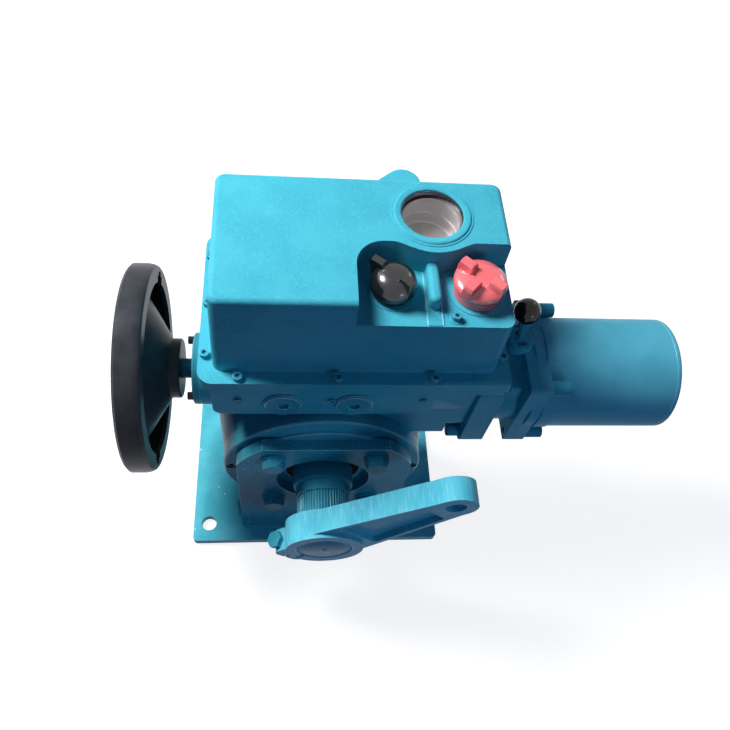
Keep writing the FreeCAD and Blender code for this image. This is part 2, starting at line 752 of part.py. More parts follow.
def crank_arm():
    """I-section arm: clamped split hub, tapered web with a recess on both faces, and a rod eye."""
    y0, y1 = crank_hub_front, crank_y1
    arm_y0 = y0 + (crank_hub_t - crank_t) * 0.7
    arm_y1 = arm_y0 + crank_t
    hub = rod("y", y0, y1, crank_hub_r, 0, shaft_z)
    eye = rod("y", arm_y0, arm_y1, crank_eye_r, crank_radius, shaft_z)

    def blade(hub_r, eye_r, a, b, x0, x1):
        """Straight-sided taper tangent to two circles, cut off at x0 and x1."""
        lean = math.asin((hub_r - eye_r) / crank_radius)
        s, c = math.sin(lean), math.cos(lean)
        points = [V(hub_r * s, a, shaft_z + hub_r * c), V(crank_radius + eye_r * s, a, shaft_z + eye_r * c),
                  V(crank_radius + eye_r * s, a, shaft_z - eye_r * c), V(hub_r * s, a, shaft_z - hub_r * c)]
        solid = extruded("y", Part.makePolygon(points + points[:1]), b - a)
        return solid.common(box(x0, x1, a, b, shaft_z - 200, shaft_z + 200))

    neck, tip = crank_hub_r - 1, crank_eye_r - 1
    arm = blade(neck, tip, arm_y0, arm_y1, 0, crank_radius)
    pocket_in = blade(neck - crank_rim, tip - crank_rim, arm_y0, arm_y0 + crank_pocket,
                      crank_hub_r + 4, crank_radius - crank_eye_r - 2)
    pocket_in = softened(pocket_in, 5, lambda e: abs(e.tangentAt(e.FirstParameter).y) > 0.9)
    pocket_out = pocket_in.copy()
    pocket_out.translate(V(0, crank_t - crank_pocket, 0))
    ears = rounded("y", arm_y0, arm_y1, -clamp_reach, 0, shaft_z - clamp_w / 2, shaft_z + clamp_w / 2,
                   (clamp_round, 0.5, 0.5, clamp_round))
    body = join(hub, eye, arm, ears).cut([pocket_in, pocket_out])
    bore = rod("y", y0, y1, spline_r + fit_seat, 0, shaft_z)
    chamfer = turned("y", [(y0, 0), (y0, spline_r + 2), (y0 + 2, spline_r), (y0 + 2, 0)], 0, shaft_z)
    eye_hole = rod("y", arm_y0, arm_y1, crank_eye_hole_r, crank_radius, shaft_z)
    slit = box(-clamp_reach, 0, y0, y1, shaft_z - clamp_slit / 2, shaft_z + clamp_slit / 2)
    bolt_y = (arm_y0 + arm_y1) / 2
    bolt_hole = rod("z", shaft_z - clamp_w, shaft_z + clamp_w, m12_r + bolt_gap, -clamp_bolt_at, bolt_y)
    body = body.cut([bore, chamfer, eye_hole, slit, bolt_hole])
    return turn(body, V(0, 0, shaft_z), Y, -crank_angle)


def clamp_bolt():
    bolt_y = crank_hub_front + (crank_hub_t - crank_t) * 0.7 + crank_t / 2
    top = shaft_z + clamp_w / 2
    head = hexagon("z", top, top + m12_head, m12_flat, -clamp_bolt_at, bolt_y)
    shank = rod("z", shaft_z - clamp_w / 2 - m12_nut - 4, top, m12_r, -clamp_bolt_at, bolt_y)
    return turn(join(head, shank), V(0, 0, shaft_z), Y, -crank_angle)


def clamp_nut():
    bolt_y = crank_hub_front + (crank_hub_t - crank_t) * 0.7 + crank_t / 2
    low = shaft_z - clamp_w / 2
    nut = hexagon("z", low - m12_nut, low, m12_flat, -clamp_bolt_at, bolt_y)
    nut = nut.cut(rod("z", low - m12_nut, low, m12_r + fit_seat, -clamp_bolt_at, bolt_y))
    return turn(nut, V(0, 0, shaft_z), Y, -crank_angle)


# Worm shaft, its bearings, end cap and handwheel

def worm_shaft():
    """Stepped shaft with a right-hand trapezoid thread."""
    left, right = wheel_face_x + worm_stub, right_end_x + clutch_reach
    half = worm_len / 2
    steps = [(left, left + 1, worm_shaft_r - 1), (left + 1, bearing_left_x, worm_shaft_r),
             (bearing_left_x, bearing_left_x + bearing_t, bearing_bore_r),
             (bearing_left_x + bearing_t, -half, worm_body_r), (-half, half, worm_root_r),
             (half, bearing_right_x, worm_body_r),
             (bearing_right_x, bearing_right_x + bearing_t, bearing_bore_r),
             (bearing_right_x + bearing_t, right, worm_shaft_r)]
    outline = [(left, 0)]
    for a, b, r in steps:
        outline += [(a, r), (b, r)]
    body = turned("x", outline + [(right, 0)], worm_y, worm_z)
    turns = int((worm_len - pitch) / pitch)
    start_x = -turns * pitch / 2
    sunk = 0.6
    foot = worm_root_r - sunk
    flank = math.tan(math.radians(pressure_angle))
    half_tip = pitch * tooth_share / 2 - gear_module * flank
    half_foot = half_tip + (worm_tip_r - foot) * flank
    helix = Part.makeHelix(pitch, turns * pitch, worm_pitch_r)
    corners = [(foot, -half_foot), (worm_tip_r, -half_tip), (worm_tip_r, half_tip), (foot, half_foot)]
    profile = Part.makePolygon([V(r, 0, x) for r, x in corners + corners[:1]])
    thread = Part.Wire(helix).makePipeShell([profile], True, True)
    thread.rotate(V(0, 0, 0), Y, 90)
    thread.translate(V(start_x, worm_y, worm_z))
    return body.fuse(thread)


def bearing_rings(outer):
    """Both ball bearings' outer rings, or their inner rings."""
    solids = []
    if outer:
        big, small = worm_bore_r - fit_seat, worm_bore_r - bearing_ring
    else:
        big, small = bearing_bore_r + bearing_ring, bearing_bore_r + fit_seat
    for x in (bearing_left_x, bearing_right_x):
        solids.append(tube("x", x, x + bearing_t, big, small, worm_y, worm_z))
    return solids


def bearing_balls():
    """Balls of both bearings in their cages, as one ring of balls each."""
    solids = []
    gap = worm_bore_r - bearing_ring - bearing_bore_r - bearing_ring
    r = gap / 2 - 0.1
    mid = (worm_bore_r + bearing_bore_r) / 2
    for x in (bearing_left_x, bearing_right_x):
        for u, v in circle_places(8, mid):
            solids.append(Part.makeSphere(r, V(x + bearing_t / 2, worm_y + u, worm_z + v)))
    return solids


def worm_end_cap():
    x0 = left_end_x - endcap_t
    cap = turned("x", [(x0, 0), (x0, endcap_r - 1), (x0 + 1, endcap_r), (left_end_x, endcap_r),
                       (left_end_x, worm_bore_r - fit_seat), (bearing_left_x, worm_bore_r - fit_seat),
                       (bearing_left_x, worm_bore_r - 5), (left_end_x + 2, worm_shaft_r + 8),
                       (left_end_x + 2, 0)], worm_y, worm_z)
    cuts = [rod("x", x0, left_end_x + 3, worm_shaft_r + 7 + fit_seat, worm_y, worm_z)]
    for u, v in endcap_screw_places():
        cuts.append(rod("x", x0, left_end_x, m6_r + bolt_gap, worm_y + u, worm_z + v))
    return cap.cut(cuts)


def worm_end_cap_screws():
    x0 = left_end_x - endcap_t - m6_cap
    return [cap_screw("x", x0, 1, m6_cap_r - 0.5, m6_cap, m6_r, endcap_screw_len, m6_key - 1,
                      worm_y + u, worm_z + v) for u, v in endcap_screw_places()]


def worm_seal():
    x0 = left_end_x - endcap_t
    return turned("x", [(x0, worm_shaft_r + 2), (x0, worm_shaft_r + 7), (left_end_x + 1, worm_shaft_r + 7),
                        (left_end_x + 1, worm_shaft_r + 3), (x0 + 3, worm_shaft_r + fit_run),
                        (x0 + 1.5, worm_shaft_r + fit_run)], worm_y, worm_z)


def handwheel():
    """Dished wheel: deep rim with a lip on the hub's side, closed cone and stepped hub.

    The lip's inner edge has stepped notches.
    """
    x0, x1 = wheel_face_x, wheel_face_x + wheel_rim_w
    lip_x, floor_x = x1 - wheel_lip_t, x0 + wheel_dish_t
    groove_r = wheel_r - wheel_rim_t
    web_x = handhub_x - handhub_len
    nose_x = web_x - handhub_nose
    bore = worm_shaft_r + fit_seat
    wheel = turned("x", [(x0, wheel_r - 3), (x0 + 3, wheel_r), (x1 - 9, wheel_r), (x1 - 4, wheel_r - 1),
                         (x1 - 1, wheel_r - 2.6), (x1, wheel_r - 4), (x1, wheel_lip_r), (lip_x, wheel_lip_r),
                         (lip_x, groove_r), (floor_x, groove_r), (floor_x, wheel_dish_r),
                         (handhub_x - handhub_rim, handhub_r), (handhub_x - 1.5, handhub_r),
                         (handhub_x, handhub_r - 1.5), (handhub_x, bore), (nose_x, bore),
                         (nose_x, handhub_neck_r - 2), (nose_x + 2, handhub_neck_r), (web_x, handhub_neck_r),
                         (web_x, handhub_neck_r + 6), (x0, wheel_dish_r - 4)], worm_y, worm_z)
    cuts = []
    for half, deep in lip_notch_steps:
        notch = box(lip_x, x1, worm_y + wheel_dish_r - 4, worm_y + wheel_lip_r + deep,
                    worm_z - half, worm_z + half)
        for k in range(lip_notches_n):
            angle = lip_notch_from + 360.0 / lip_notches_n * k
            cuts.append(turn(notch, V(0, worm_y, worm_z), X, angle))
    return wheel.cut(cuts)


def handwheel_screw():
    """Screw and washer that hold the handwheel on the shaft's end."""
    x1 = handhub_x - handhub_len - handhub_nose
    washer = rod("x", x1 - 3, x1, handhub_neck_r - 5, worm_y, worm_z).cut(
        rod("x", x1 - 3, x1, worm_shaft_r + fit_seat, worm_y, worm_z))
    nut = hexagon("x", x1 - 12, x1 - 3, 30, worm_y, worm_z).cut(
        rod("x", x1 - 12, x1 - 3, worm_shaft_r + fit_seat, worm_y, worm_z))
    return [washer, nut]


# Electrical housing details

def rim_screw_places():
    """Screw places round the cover's rim, three on each long side and two on each short side."""
    front, back = rim_y0 + rim_screw_inset, rim_y1 - rim_screw_inset
    left, right = rim_x0 + rim_screw_inset, rim_x1 - rim_screw_inset
    span = right - left
    places = []
    for share in (0.11, 0.435, 0.757):
        places.append((left + span * share, front))
        places.append((left + span * share, back))
    for share in (0.15, 0.5, 0.85):
        places.append((left, front + (back - front) * share))
        places.append((right, front + (back - front) * share))
    return places


def cover_gasket():
    radii = (rim_round, rim_round_right, rim_round_right, rim_round)
    inset = lip_inset + 0.4
    sheet = rounded("z", hous_top_z, rim_z0, rim_x0 + inset, rim_x1 - inset, rim_y0 + inset, rim_y1 - inset,
                    radii)
    hole = rounded("z", hous_top_z, rim_z0, shell_x0 + shell_wall, shell_x1 - shell_wall,
                   shell_y0 + shell_wall, shell_y1 - shell_wall, 5)
    holes = [rod("z", hous_top_z, rim_z0, m6_r + bolt_gap, x, y) for x, y in rim_screw_places()]
    return sheet.cut([hole] + holes)


def drafted(x0, x1, y0, y1, z0, z1, r, draft):
    """Rounded box whose walls lean inwards by draft from z0 to z1."""
    low = rounded("z", z0, z0 + 1, x0, x1, y0, y1, r).Faces
    high = rounded("z", z1, z1 + 1, x0 + draft, x1 - draft, y0 + draft, y1 - draft, r).Faces
    low_wire = [f for f in low if abs(f.CenterOfMass.z - z0) < 1e-6][0].OuterWire
    high_wire = [f for f in high if abs(f.CenterOfMass.z - z1) < 1e-6][0].OuterWire
    return Part.makeLoft([low_wire, high_wire], True, True)


def shelf_region(grow, z0, z1):
    """Space over the knob shelf: a corner of the cover, kept clear of the window's round boss."""
    region = rounded("z", z0, z1, shelf_x0 - grow, shell_x1 + 40, shell_y0 - 40, shelf_y1 + grow,
                     (0.5, 0.5, 0.5, shelf_corner_r + grow))
    return region.cut(rod("z", z0, z1, window_step_r - grow, window_x, window_y))


def electrical_cover():
    """Deep cast cover: drafted walls, a rim, the sunk knob shelf, window boss, rib and rear lug."""
    radii = (rim_round, rim_round_right, rim_round_right, rim_round)
    rim = rounded("z", rim_z0, rim_z1, rim_x0, rim_x1, rim_y0, rim_y1, radii)
    shell = drafted(shell_x0, shell_x1, shell_y0, shell_y1, rim_z0, shell_top_z, shell_corner_r, shell_draft)
    shell = softened(shell, shell_edge_r, lambda e: abs(e.CenterOfMass.z - shell_top_z) < 1e-6)
    lug = lug_shape(shell_top_z - lug_top, 0.0)
    outer = join(shell, lug)
    outer = outer.cut(shelf_region(0, shelf_z, shell_top_z + 10))
    boss = rod("z", shell_top_z - 1, shell_top_z + window_rim_h, window_rim_r, window_x, window_y)
    boss = softened(boss, window_rim_soft,
                    lambda e: abs(e.CenterOfMass.z - shell_top_z - window_rim_h) < 1e-6)
    rib_y0 = face_y + rib_front
    end_r = rib_w / 2 - 0.1
    rib = rounded("z", shelf_z - 1, shelf_z + rib_h, rib_x - rib_w / 2, rib_x + rib_w / 2, rib_y0,
                  shelf_y1 + 4, (end_r, end_r, 0.5, 0.5))
    rib = softened(rib, 5, lambda e: abs(e.CenterOfMass.z - shelf_z - rib_h) < 1e-6 and
                   e.CenterOfMass.y < shelf_y1)
    band = box(rib_x - rib_band / 2, rib_x + rib_band / 2, shell_y0 + shell_draft, shelf_y1, shelf_z - 1,
               shelf_z + rib_band_h)
    pads = [rod("z", shelf_z - 1, shelf_z + pad_h, r + pad_over, knob_xs[name], knob_y)
            for name, r in (("black", black_knob_r), ("red", red_knob_r))]
    body = join(outer, rim, boss, rib, band, *pads)
    hollow = drafted(shell_x0 + shell_wall, shell_x1 - shell_wall, shell_y0 + shell_wall,
                     shell_y1 - shell_wall, rim_z0, shell_top_z - shell_wall, 6, shell_draft)
    hollow = hollow.cut(shelf_region(shell_wall, shelf_z - shell_wall, shell_top_z))
    seat = rod("z", well_top_z, shell_top_z, glass_r + shell_wall, window_x, window_y)
    body = body.cut(hollow).fuse(seat.common(hollow))
    cuts = [rod("z", well_top_z - 10, shell_top_z + 10, window_r, window_x, window_y),
            rod("z", well_top_z - 10, shell_top_z - shell_wall, glass_r + fit_seat, window_x, window_y)]
    for x, y in rim_screw_places():
        cuts.append(rod("z", rim_z0, rim_z1, m6_r + bolt_gap, x, y))
    for name in knob_xs:
        cuts.append(rod("z", shelf_z - 20, shelf_z + pad_h, spindle_r + fit_run, knob_xs[name], knob_y))
    cuts.append(rod("z", shelf_z - 20, shelf_z + 5, m5_r + fit_seat, shelf_screw_x, shelf_screw_y))
    return body.cut(cuts)


def lug_shape(top, shrink):
    """Rear lug: a half-round boss with a web that runs out to the left along the back wall."""
    r = lug_r - shrink
    y = shell_y1 - shell_draft
    far = V(lug_web_x + shrink, y - 4, rim_z0)
    reach = math.sqrt((lug_x - far.x) ** 2 + 4 ** 2)
    lean = math.asin(r / reach) + math.atan2(4, lug_x - far.x)
    touch = V(lug_x - r * math.sin(lean), y + r * math.cos(lean), rim_z0)
    crown = V(lug_x + r * math.sin(0.35), y + r * math.cos(0.35), rim_z0)
    side = V(lug_x + r, y, rim_z0)
    edges = [Part.LineSegment(far, touch).toShape(), Part.Arc(touch, crown, side).toShape(),
             Part.LineSegment(side, V(lug_x + r, y - 4, rim_z0)).toShape(),
             Part.LineSegment(V(lug_x + r, y - 4, rim_z0), far).toShape()]
    lug = extruded("z", Part.Wire(edges), top - rim_z0)
    return softened(lug, 3, lambda e: abs(e.CenterOfMass.z - top) < 1e-6 and e.CenterOfMass.y > y + 1)


def cover_screws():
    return [cap_screw("z", rim_z1 + m6_cap, -1, m6_cap_r, m6_cap, m6_r, rim_t + gasket_t + 6, m6_key, x, y)
            for x, y in rim_screw_places()]


def window_glass():
    z1 = shell_top_z - shell_wall
    return rod("z", well_top_z, z1 - fit_seat, glass_r - fit_seat, window_x, window_y)


def dial_well():
    """Stepped metal tube under the glass that carries the dial."""
    z1 = well_top_z
    r = window_r
    return turned("z", [(z1, r - 2), (z1, glass_r + shell_wall - 1), (z1 - 3, glass_r + shell_wall - 1),
                        (z1 - 3, r + well_wall), (dial_z - dial_t, r + well_wall), (dial_z - dial_t, r - 4),
                        (dial_z, r - 4), (dial_z, r - 1), (dial_z + 12, r - 1), (dial_z + 12, r),
                        (z1 - 6, r), (z1 - 6, r - 2)], window_x, window_y)


def position_dial():
    return tube("z", dial_z - dial_t, dial_z, window_r - 4 - fit_seat, 4, window_x, window_y)


def position_pointer():
    """Arrow on a spindle that turns with the output shaft."""
    z0 = dial_z + 1.5
    arrow = [(-3, -14), (3, -14), (2, 8), (0, 22), (-2, 8)]
    points = [V(window_x + p, window_y + q, z0) for p, q in arrow]
    blade = extruded("z", Part.makePolygon(points + points[:1]), 1.6)
    hub = rod("z", dial_z + 0.5, z0 + 3.5, 6, window_x, window_y)
    spindle = rod("z", switch_top_z - switch_head_h + 2, dial_z + 0.6, switch_axle_r, window_x, window_y)
    return join(blade, hub, spindle)


def limit_switch_unit():
    """Cam switch block under the dial, on a foot that stands on the compartment floor."""
    half = switch_w / 2
    x0, x1 = window_x - half, window_x + half
    y0, y1 = window_y - half + 8, window_y + half - 16
    foot_z = hous_floor_z + hous_wall
    body_z0, body_z1 = foot_z + switch_foot_h, switch_top_z - switch_head_h
    foot = box(x0 + 6, x1 - 6, y1 - switch_foot_t, y1, foot_z, body_z0)
    body = rounded("z", body_z0, body_z1, x0, x1, y0, y1, 3)
    step = (body_z1 - body_z0) / stages_n
    stages = []
    for k in range(stages_n):
        z = body_z0 + step * (k + 0.3)
        stages.append(box(x0 - stage_out, x0 + 1, y0 + 5, y1 - 5, z, z + 0.6 * step))
    head = rod("z", body_z1, switch_top_z, switch_head_r, window_x, window_y)
    unit = join(body, foot, head, *stages)
    return unit.cut(rod("z", body_z1 - 2, switch_top_z, switch_axle_r + fit_run, window_x, window_y))


def knob(name, r):
    """Round knob: narrow skirt, dome and raised tabs at its rim, with its spindle through the shelf."""
    x = knob_xs[name]
    z0 = shelf_z + pad_h + fit_slide
    skirt_r, skirt_h = knob_skirt[name]
    widest, dome_h = knob_widest[name], knob_dome[name]
    steps = 8
    outline = [(z0, 0), (z0, skirt_r), (z0 + skirt_h, skirt_r), (z0 + widest - 1.5, r)]
    for k in range(steps + 1):
        c, s = polar(1.0, 90.0 * k / steps)
        outline.append((z0 + widest + (dome_h - widest) * s ** 0.85, r * round(c, 6) ** 0.75))
    body = turned("z", outline, x, knob_y)
    tabs = []
    inner, half = r * knob_tab_from, knob_tab_w / 2
    lower = rounded("z", z0 + widest - 1, z0 + knob_h - 4, x + inner, x + r, knob_y - half, knob_y + half,
                    2.5)
    upper = rounded("z", z0 + knob_h - 4.1, z0 + knob_h, x + inner + 1, x + r - 3, knob_y - half + 0.5,
                    knob_y + half - 0.5, 2)
    for angle in knob_tabs[name]:
        tabs.append(turn(join(lower, upper), V(x, knob_y, 0), Z, angle))
    spindle = rod("z", z0 - spindle_len, z0 + 0.2, spindle_r, x, knob_y)
    return join(body, spindle, *tabs)


def knob_rings():
    """Seal rings on the two spindles, below the shelf."""
    z1 = shelf_z - shell_wall
    return [tube("z", z1 - 3, z1, spindle_r + 4, spindle_r + fit_run, x, knob_y) for x in knob_xs.values()]


def shelf_screw():
    z = shelf_z
    washer = tube("z", z, z + 1.2, m5_cap_r + 2, m5_r + fit_seat, shelf_screw_x, shelf_screw_y)
    screw = cap_screw("z", z + 1.2 + m6_cap, -1, m5_cap_r, m6_cap, m5_r, 10, 4, shelf_screw_x, shelf_screw_y)
    return [washer, screw]


def cable_entry_plate():
    y0, y1 = hous_y0 - entry_t, hous_y0
    plate = rounded("y", y0, y1, entry_x0, entry_x1, entry_z0, entry_z1,
                    (entry_corner_r, entry_corner_r, 1, 1))
    cuts = [rod("y", y0, y1, plug_thread_r + fit_slide, x, plug_z) for x in plug_xs]
    cuts += [rod("y", y0, y1, m5_r + bolt_gap, x, entry_screw_z) for x in entry_screw_xs]
    return plate.cut(cuts)


def entry_screws():
    y0 = hous_y0 - entry_t
    length = entry_t + hous_wall - 1
    return [cap_screw("y", y0 - m5_cap, 1, m5_cap_r, m5_cap, m5_r, length, 3, x, entry_screw_z)
            for x in entry_screw_xs]


def blanking_plugs():
    y1 = hous_y0 - entry_t
    y0 = y1 - plug_head_t
    y2 = hous_y0 + hous_wall + plug_nut_t + 1
    solids = []
    for x in plug_xs:
        plug = turned("y", [(y0, 0), (y0, plug_head_r - 2), (y0 + 2, plug_head_r), (y1, plug_head_r),
                            (y1, plug_thread_r), (y2, plug_thread_r), (y2, 0)], x, plug_z)
        solids.append(plug.cut(hexagon("y", y0, y1, plug_key, x, plug_z)))
    return solids


def plug_nuts():
    y0 = hous_y0 + hous_wall
    y1 = y0 + plug_nut_t
    return [hexagon("y", y0, y1, plug_nut_flat, x, plug_z).cut(
        rod("y", y0, y1, plug_thread_r + fit_seat, x, plug_z)) for x in plug_xs]


# Electrics in the housing

def board_pillar_places():
    return [(x, y) for x in (board_x0 + 8, board_x1 - 8) for y in (board_y0 + 6, board_y1 - 6)]


def board_pillars():
    z0 = hous_floor_z + hous_wall
    return [hexagon("z", z0, board_z, 2 * pillar_r, x, y) for x, y in board_pillar_places()]


def control_board():
    board = rounded("z", board_z, board_z + board_t, board_x0, board_x1, board_y0, board_y1, 3)
    top = board_z + board_t
    x0, y0 = board_x0 + part_inset, board_y0 + part_inset + relay_y
    x1 = board_x1 - part_inset
    transformer = rounded("z", top, top + transformer_h, x0, x0 + transformer_x, y0, y0 + transformer_y, 3)
    relays = []
    for k in range(relays_n):
        y = board_y0 + part_inset + relay_pitch * k
        relays.append(box(x1 - relay_x, x1, y, y + relay_y, top, top + relay_h))
    cap_x, cap_y = x0 + transformer_x + capacitor_pitch, board_y0 + part_inset + relay_y / 2
    capacitors = [rod("z", top, top + capacitor_h, capacitor_r, cap_x + capacitor_pitch * k, cap_y)
                  for k in range(2)]
    return join(board, transformer, *(relays + capacitors))


def terminal_block():
    z0 = hous_floor_z + hous_wall
    top = z0 + terminal_h
    rail = box(terminal_x0 - 4, terminal_x1 + 4, terminal_y0, terminal_y1, z0, z0 + rail_t)
    blocks = box(terminal_x0, terminal_x1, terminal_y0 + 2, terminal_y1 - 2, z0 + rail_t, top)
    steps = int((terminal_x1 - terminal_x0) / terminal_pitch)
    wells = [rod("z", top - terminal_hole_h, top, terminal_hole_r, terminal_x0 + terminal_pitch * (k + 0.5),
                 (terminal_y0 + terminal_y1) / 2) for k in range(steps)]
    return join(rail, blocks).cut(wells)


# Clutch neck, lever and motor

def clutch_housing():
    """Neck with a flange at each end, a box on its front and the lever's boss on top."""
    x0, x1 = right_end_x, neck_end_x
    a, b = x0 + case_flange_t, x1 - neck_flange_t
    left = worm_square(x0, a, case_flange, case_flange_round)
    right = worm_square(b, x1, motor_flange, motor_flange_round)
    neck = rod("x", x0, x1, neck_r, worm_y, worm_z)
    front = rounded("x", a, b, neck_box_y0, neck_box_y1, worm_z, neck_box_z, 3)
    boss = rod("z", worm_z + neck_bore_r - 4, lever_boss_z, lever_boss_r, lever_x, lever_y)
    boss = softened(boss, 1.5, lambda e: abs(e.CenterOfMass.z - lever_boss_z) < 1e-6)
    body = join(left, right, neck, front, boss)
    half_x, half_y = lever_w / 2 + fit_slide, lever_hub_r + 1.5
    slot = box(lever_x - half_x, lever_x + half_x, lever_y - half_y, lever_y + half_y,
               lever_pivot_z - lever_hub_r - 1, lever_boss_z)
    pin_x0, pin_x1 = lever_x - lever_boss_r, lever_x + lever_boss_r
    cuts = [slot, rod("x", x0, x1, neck_bore_r, worm_y, worm_z),
            rod("x", pin_x0, pin_x1, lever_pin_r + fit_seat, lever_y, lever_pivot_z)]
    for u in (-case_bolt_off, case_bolt_off):
        low, high = worm_z - case_bolt_off, worm_z + case_bolt_off
        shoulder = x0 + case_flange_t
        cuts.append(rod("x", x0, shoulder, m8_r + fit_seat, worm_y + u, low))
        cuts.append(rod("x", x0, shoulder, m8_r + bolt_gap, worm_y + u, high))
        cuts.append(rod("x", shoulder, shoulder + m8_cap + 4, m8_cap_r + pocket_gap, worm_y + u, high))
    for u, v in corners_of(motor_bolt_off):
        cuts.append(rod("x", x1 - neck_flange_t, x1, m8_r + fit_seat, worm_y + u, worm_z + v))
    return body.cut(cuts)


def case_flange_bolts():
    """Two long-headed bolts from the gear case side below, two cap screws from the neck side above."""
    x1 = right_end_x - case_flange_t
    x2 = right_end_x + case_flange_t
    solids = []
    for u in (-case_bolt_off, case_bolt_off):
        y, low, high = worm_y + u, worm_z - case_bolt_off, worm_z + case_bolt_off
        head = softened(rod("x", x1 - case_nut_len, x1, case_nut_r, y, low), 1.2,
                        lambda e: abs(e.CenterOfMass.x - x1 + case_nut_len) < 1e-6)
        solids.append(join(head, rod("x", x1, x2 - 2, m8_r, y, low)))
        solids.append(cap_screw("x", x2 + m8_cap, -1, m8_cap_r, m8_cap, m8_r,
                                case_flange_t + stud_depth - 1, 6, y, high))
    return solids


def motor_bolts():
    x0 = neck_end_x + neck_flange_t
    solids = []
    for u, v in corners_of(motor_bolt_off):
        head = softened(rod("x", x0, x0 + motor_bolt_len, motor_bolt_r, worm_y + u, worm_z + v), 1.5,
                        lambda e: abs(e.CenterOfMass.x - x0 - motor_bolt_len) < 1e-6)
        shank = rod("x", neck_end_x - neck_flange_t + 2, x0, m8_r, worm_y + u, worm_z + v)
        solids.append(join(head, shank))
    return solids


def clutch_sleeve():
    """Dog clutch sleeve on the worm shaft."""
    x0 = right_end_x + 4
    bore_r = worm_shaft_r + fit_seat
    groove_r = sleeve_r - 4
    sleeve = turned("x", [(x0, bore_r), (x0, sleeve_r), (x0 + 5, sleeve_r), (x0 + 5, groove_r),
                          (x0 + 11, groove_r), (x0 + 11, sleeve_r), (x0 + sleeve_w, sleeve_r),
                          (x0 + sleeve_w, bore_r)], worm_y, worm_z)
    dogs = dog_teeth(x0 + sleeve_w, 3.0, 0)
    return join(sleeve, *dogs)


def dog_teeth(x0, length, start):
    solids = []
    for k in range(3):
        tooth = box(x0, x0 + length, worm_y - 4, worm_y + 4, worm_z + 13, worm_z + sleeve_r - 1)
        solids.append(turn(tooth, V(0, worm_y, worm_z), X, start + 120 * k))
    return solids


def declutch_lever():
    """Lever hub in the boss's slot, rod and collar, leaning back by lever_tilt."""
    pivot = V(lever_x, lever_y, lever_pivot_z)
    hub = rod("x", lever_x - lever_w / 2, lever_x + lever_w / 2, lever_hub_r, lever_y, lever_pivot_z)
    foot = lever_pivot_z + lever_len - ball_r
    stalk = rod("z", lever_pivot_z, foot + ball_hole, lever_rod_r, lever_x, lever_y)
    collar = rod("z", foot - 5, foot + 1, lever_rod_r + 2.5, lever_x, lever_y)
    body = join(hub, stalk, collar)
    body = body.cut(rod("x", lever_x - lever_w / 2, lever_x + lever_w / 2, lever_pin_r + fit_run, lever_y,
                        lever_pivot_z))
    return turn(body, pivot, X, -lever_tilt)


def lever_ball():
    pivot = V(lever_x, lever_y, lever_pivot_z)
    ball = Part.makeSphere(ball_r, V(lever_x, lever_y, lever_pivot_z + lever_len))
    foot = lever_pivot_z + lever_len - ball_r
    ball = ball.cut([rod("z", foot - 2, foot + 1, lever_rod_r + 4, lever_x, lever_y),
                     rod("z", foot - 2, foot + ball_hole, lever_rod_r + fit_seat, lever_x, lever_y)])
    return turn(ball, pivot, X, -lever_tilt)


def lever_pin():
    half = lever_boss_r - 1
    return rod("x", lever_x - half, lever_x + half, lever_pin_r, lever_y, lever_pivot_z)


def motor_housing():
    """Square flange, collar with pockets for the bolt heads, and the plain round tube."""
    x0 = neck_end_x
    x1 = x0 + neck_flange_t
    x2 = x1 + collar_len
    flange = worm_square(x0, x1, motor_flange, motor_flange_round)
    collar = turned("x", [(x1, 0), (x1, collar_r), (x2 - 4, collar_r), (x2, motor_r), (x2, 0)],
                    worm_y, worm_z)
    pockets = [rod("x", x1, x2 + 5, motor_bolt_r + 1, worm_y + u, worm_z + v)
               for u, v in corners_of(motor_bolt_off)]
    barrel = rod("x", x0, motor_end_x - motor_cap_t, motor_r, worm_y, worm_z)
    body = join(flange, collar.cut(pockets), barrel)
    cuts = [rod("x", x1 + 8, motor_end_x, motor_r - motor_wall, worm_y, worm_z),
            rod("x", x0, x1 + 8, motor_bearing_r - 6, worm_y, worm_z),
            rod("x", x1 + 8 - motor_bearing_t, x1 + 8, motor_bearing_r + fit_seat, worm_y, worm_z)]
    for u, v in corners_of(motor_bolt_off):
        cuts.append(rod("x", x0, x1, m8_r + bolt_gap, worm_y + u, worm_z + v))
    return body.cut(cuts)


def motor_end_cover():
    x0, x1 = motor_end_x - motor_cap_t, motor_end_x
    spigot = motor_r - motor_wall - fit_seat
    cap = turned("x", [(x0 - 6, 0), (x0 - 6, spigot), (x0, spigot), (x0, motor_r), (x1, motor_r), (x1, 0)],
                 worm_y, worm_z)
    cap = softened(cap, 4, lambda e: abs(e.CenterOfMass.x - x1) < 1e-6)
    hub = rod("x", x0 - 6 - motor_bearing_t + 4, x0 - 5, motor_bearing_r + 5, worm_y, worm_z)
    seat = rod("x", x0 - 6 - motor_bearing_t + 4, x0 - 2, motor_bearing_r + fit_seat, worm_y, worm_z)
    return join(cap, hub).cut(seat)


def motor_bearings():
    front = neck_end_x + neck_flange_t + 8
    rear = motor_end_x - motor_cap_t - 2
    bore_r = motor_shaft_r + fit_run
    return [tube("x", end - motor_bearing_t, end, motor_bearing_r, bore_r, worm_y, worm_z)
            for end in (front, rear)]


def motor_stator():
    x0, x1 = stator_x, stator_x + stator_len
    core = tube("x", x0, x1, motor_r - motor_wall - fit_seat, stator_bore_r, worm_y, worm_z)
    ends = [tube("x", x0 - 10, x0, motor_r - motor_wall - 6, stator_bore_r + 3, worm_y, worm_z),
            tube("x", x1, x1 + 10, motor_r - motor_wall - 6, stator_bore_r + 3, worm_y, worm_z)]
    return join(core, *ends)


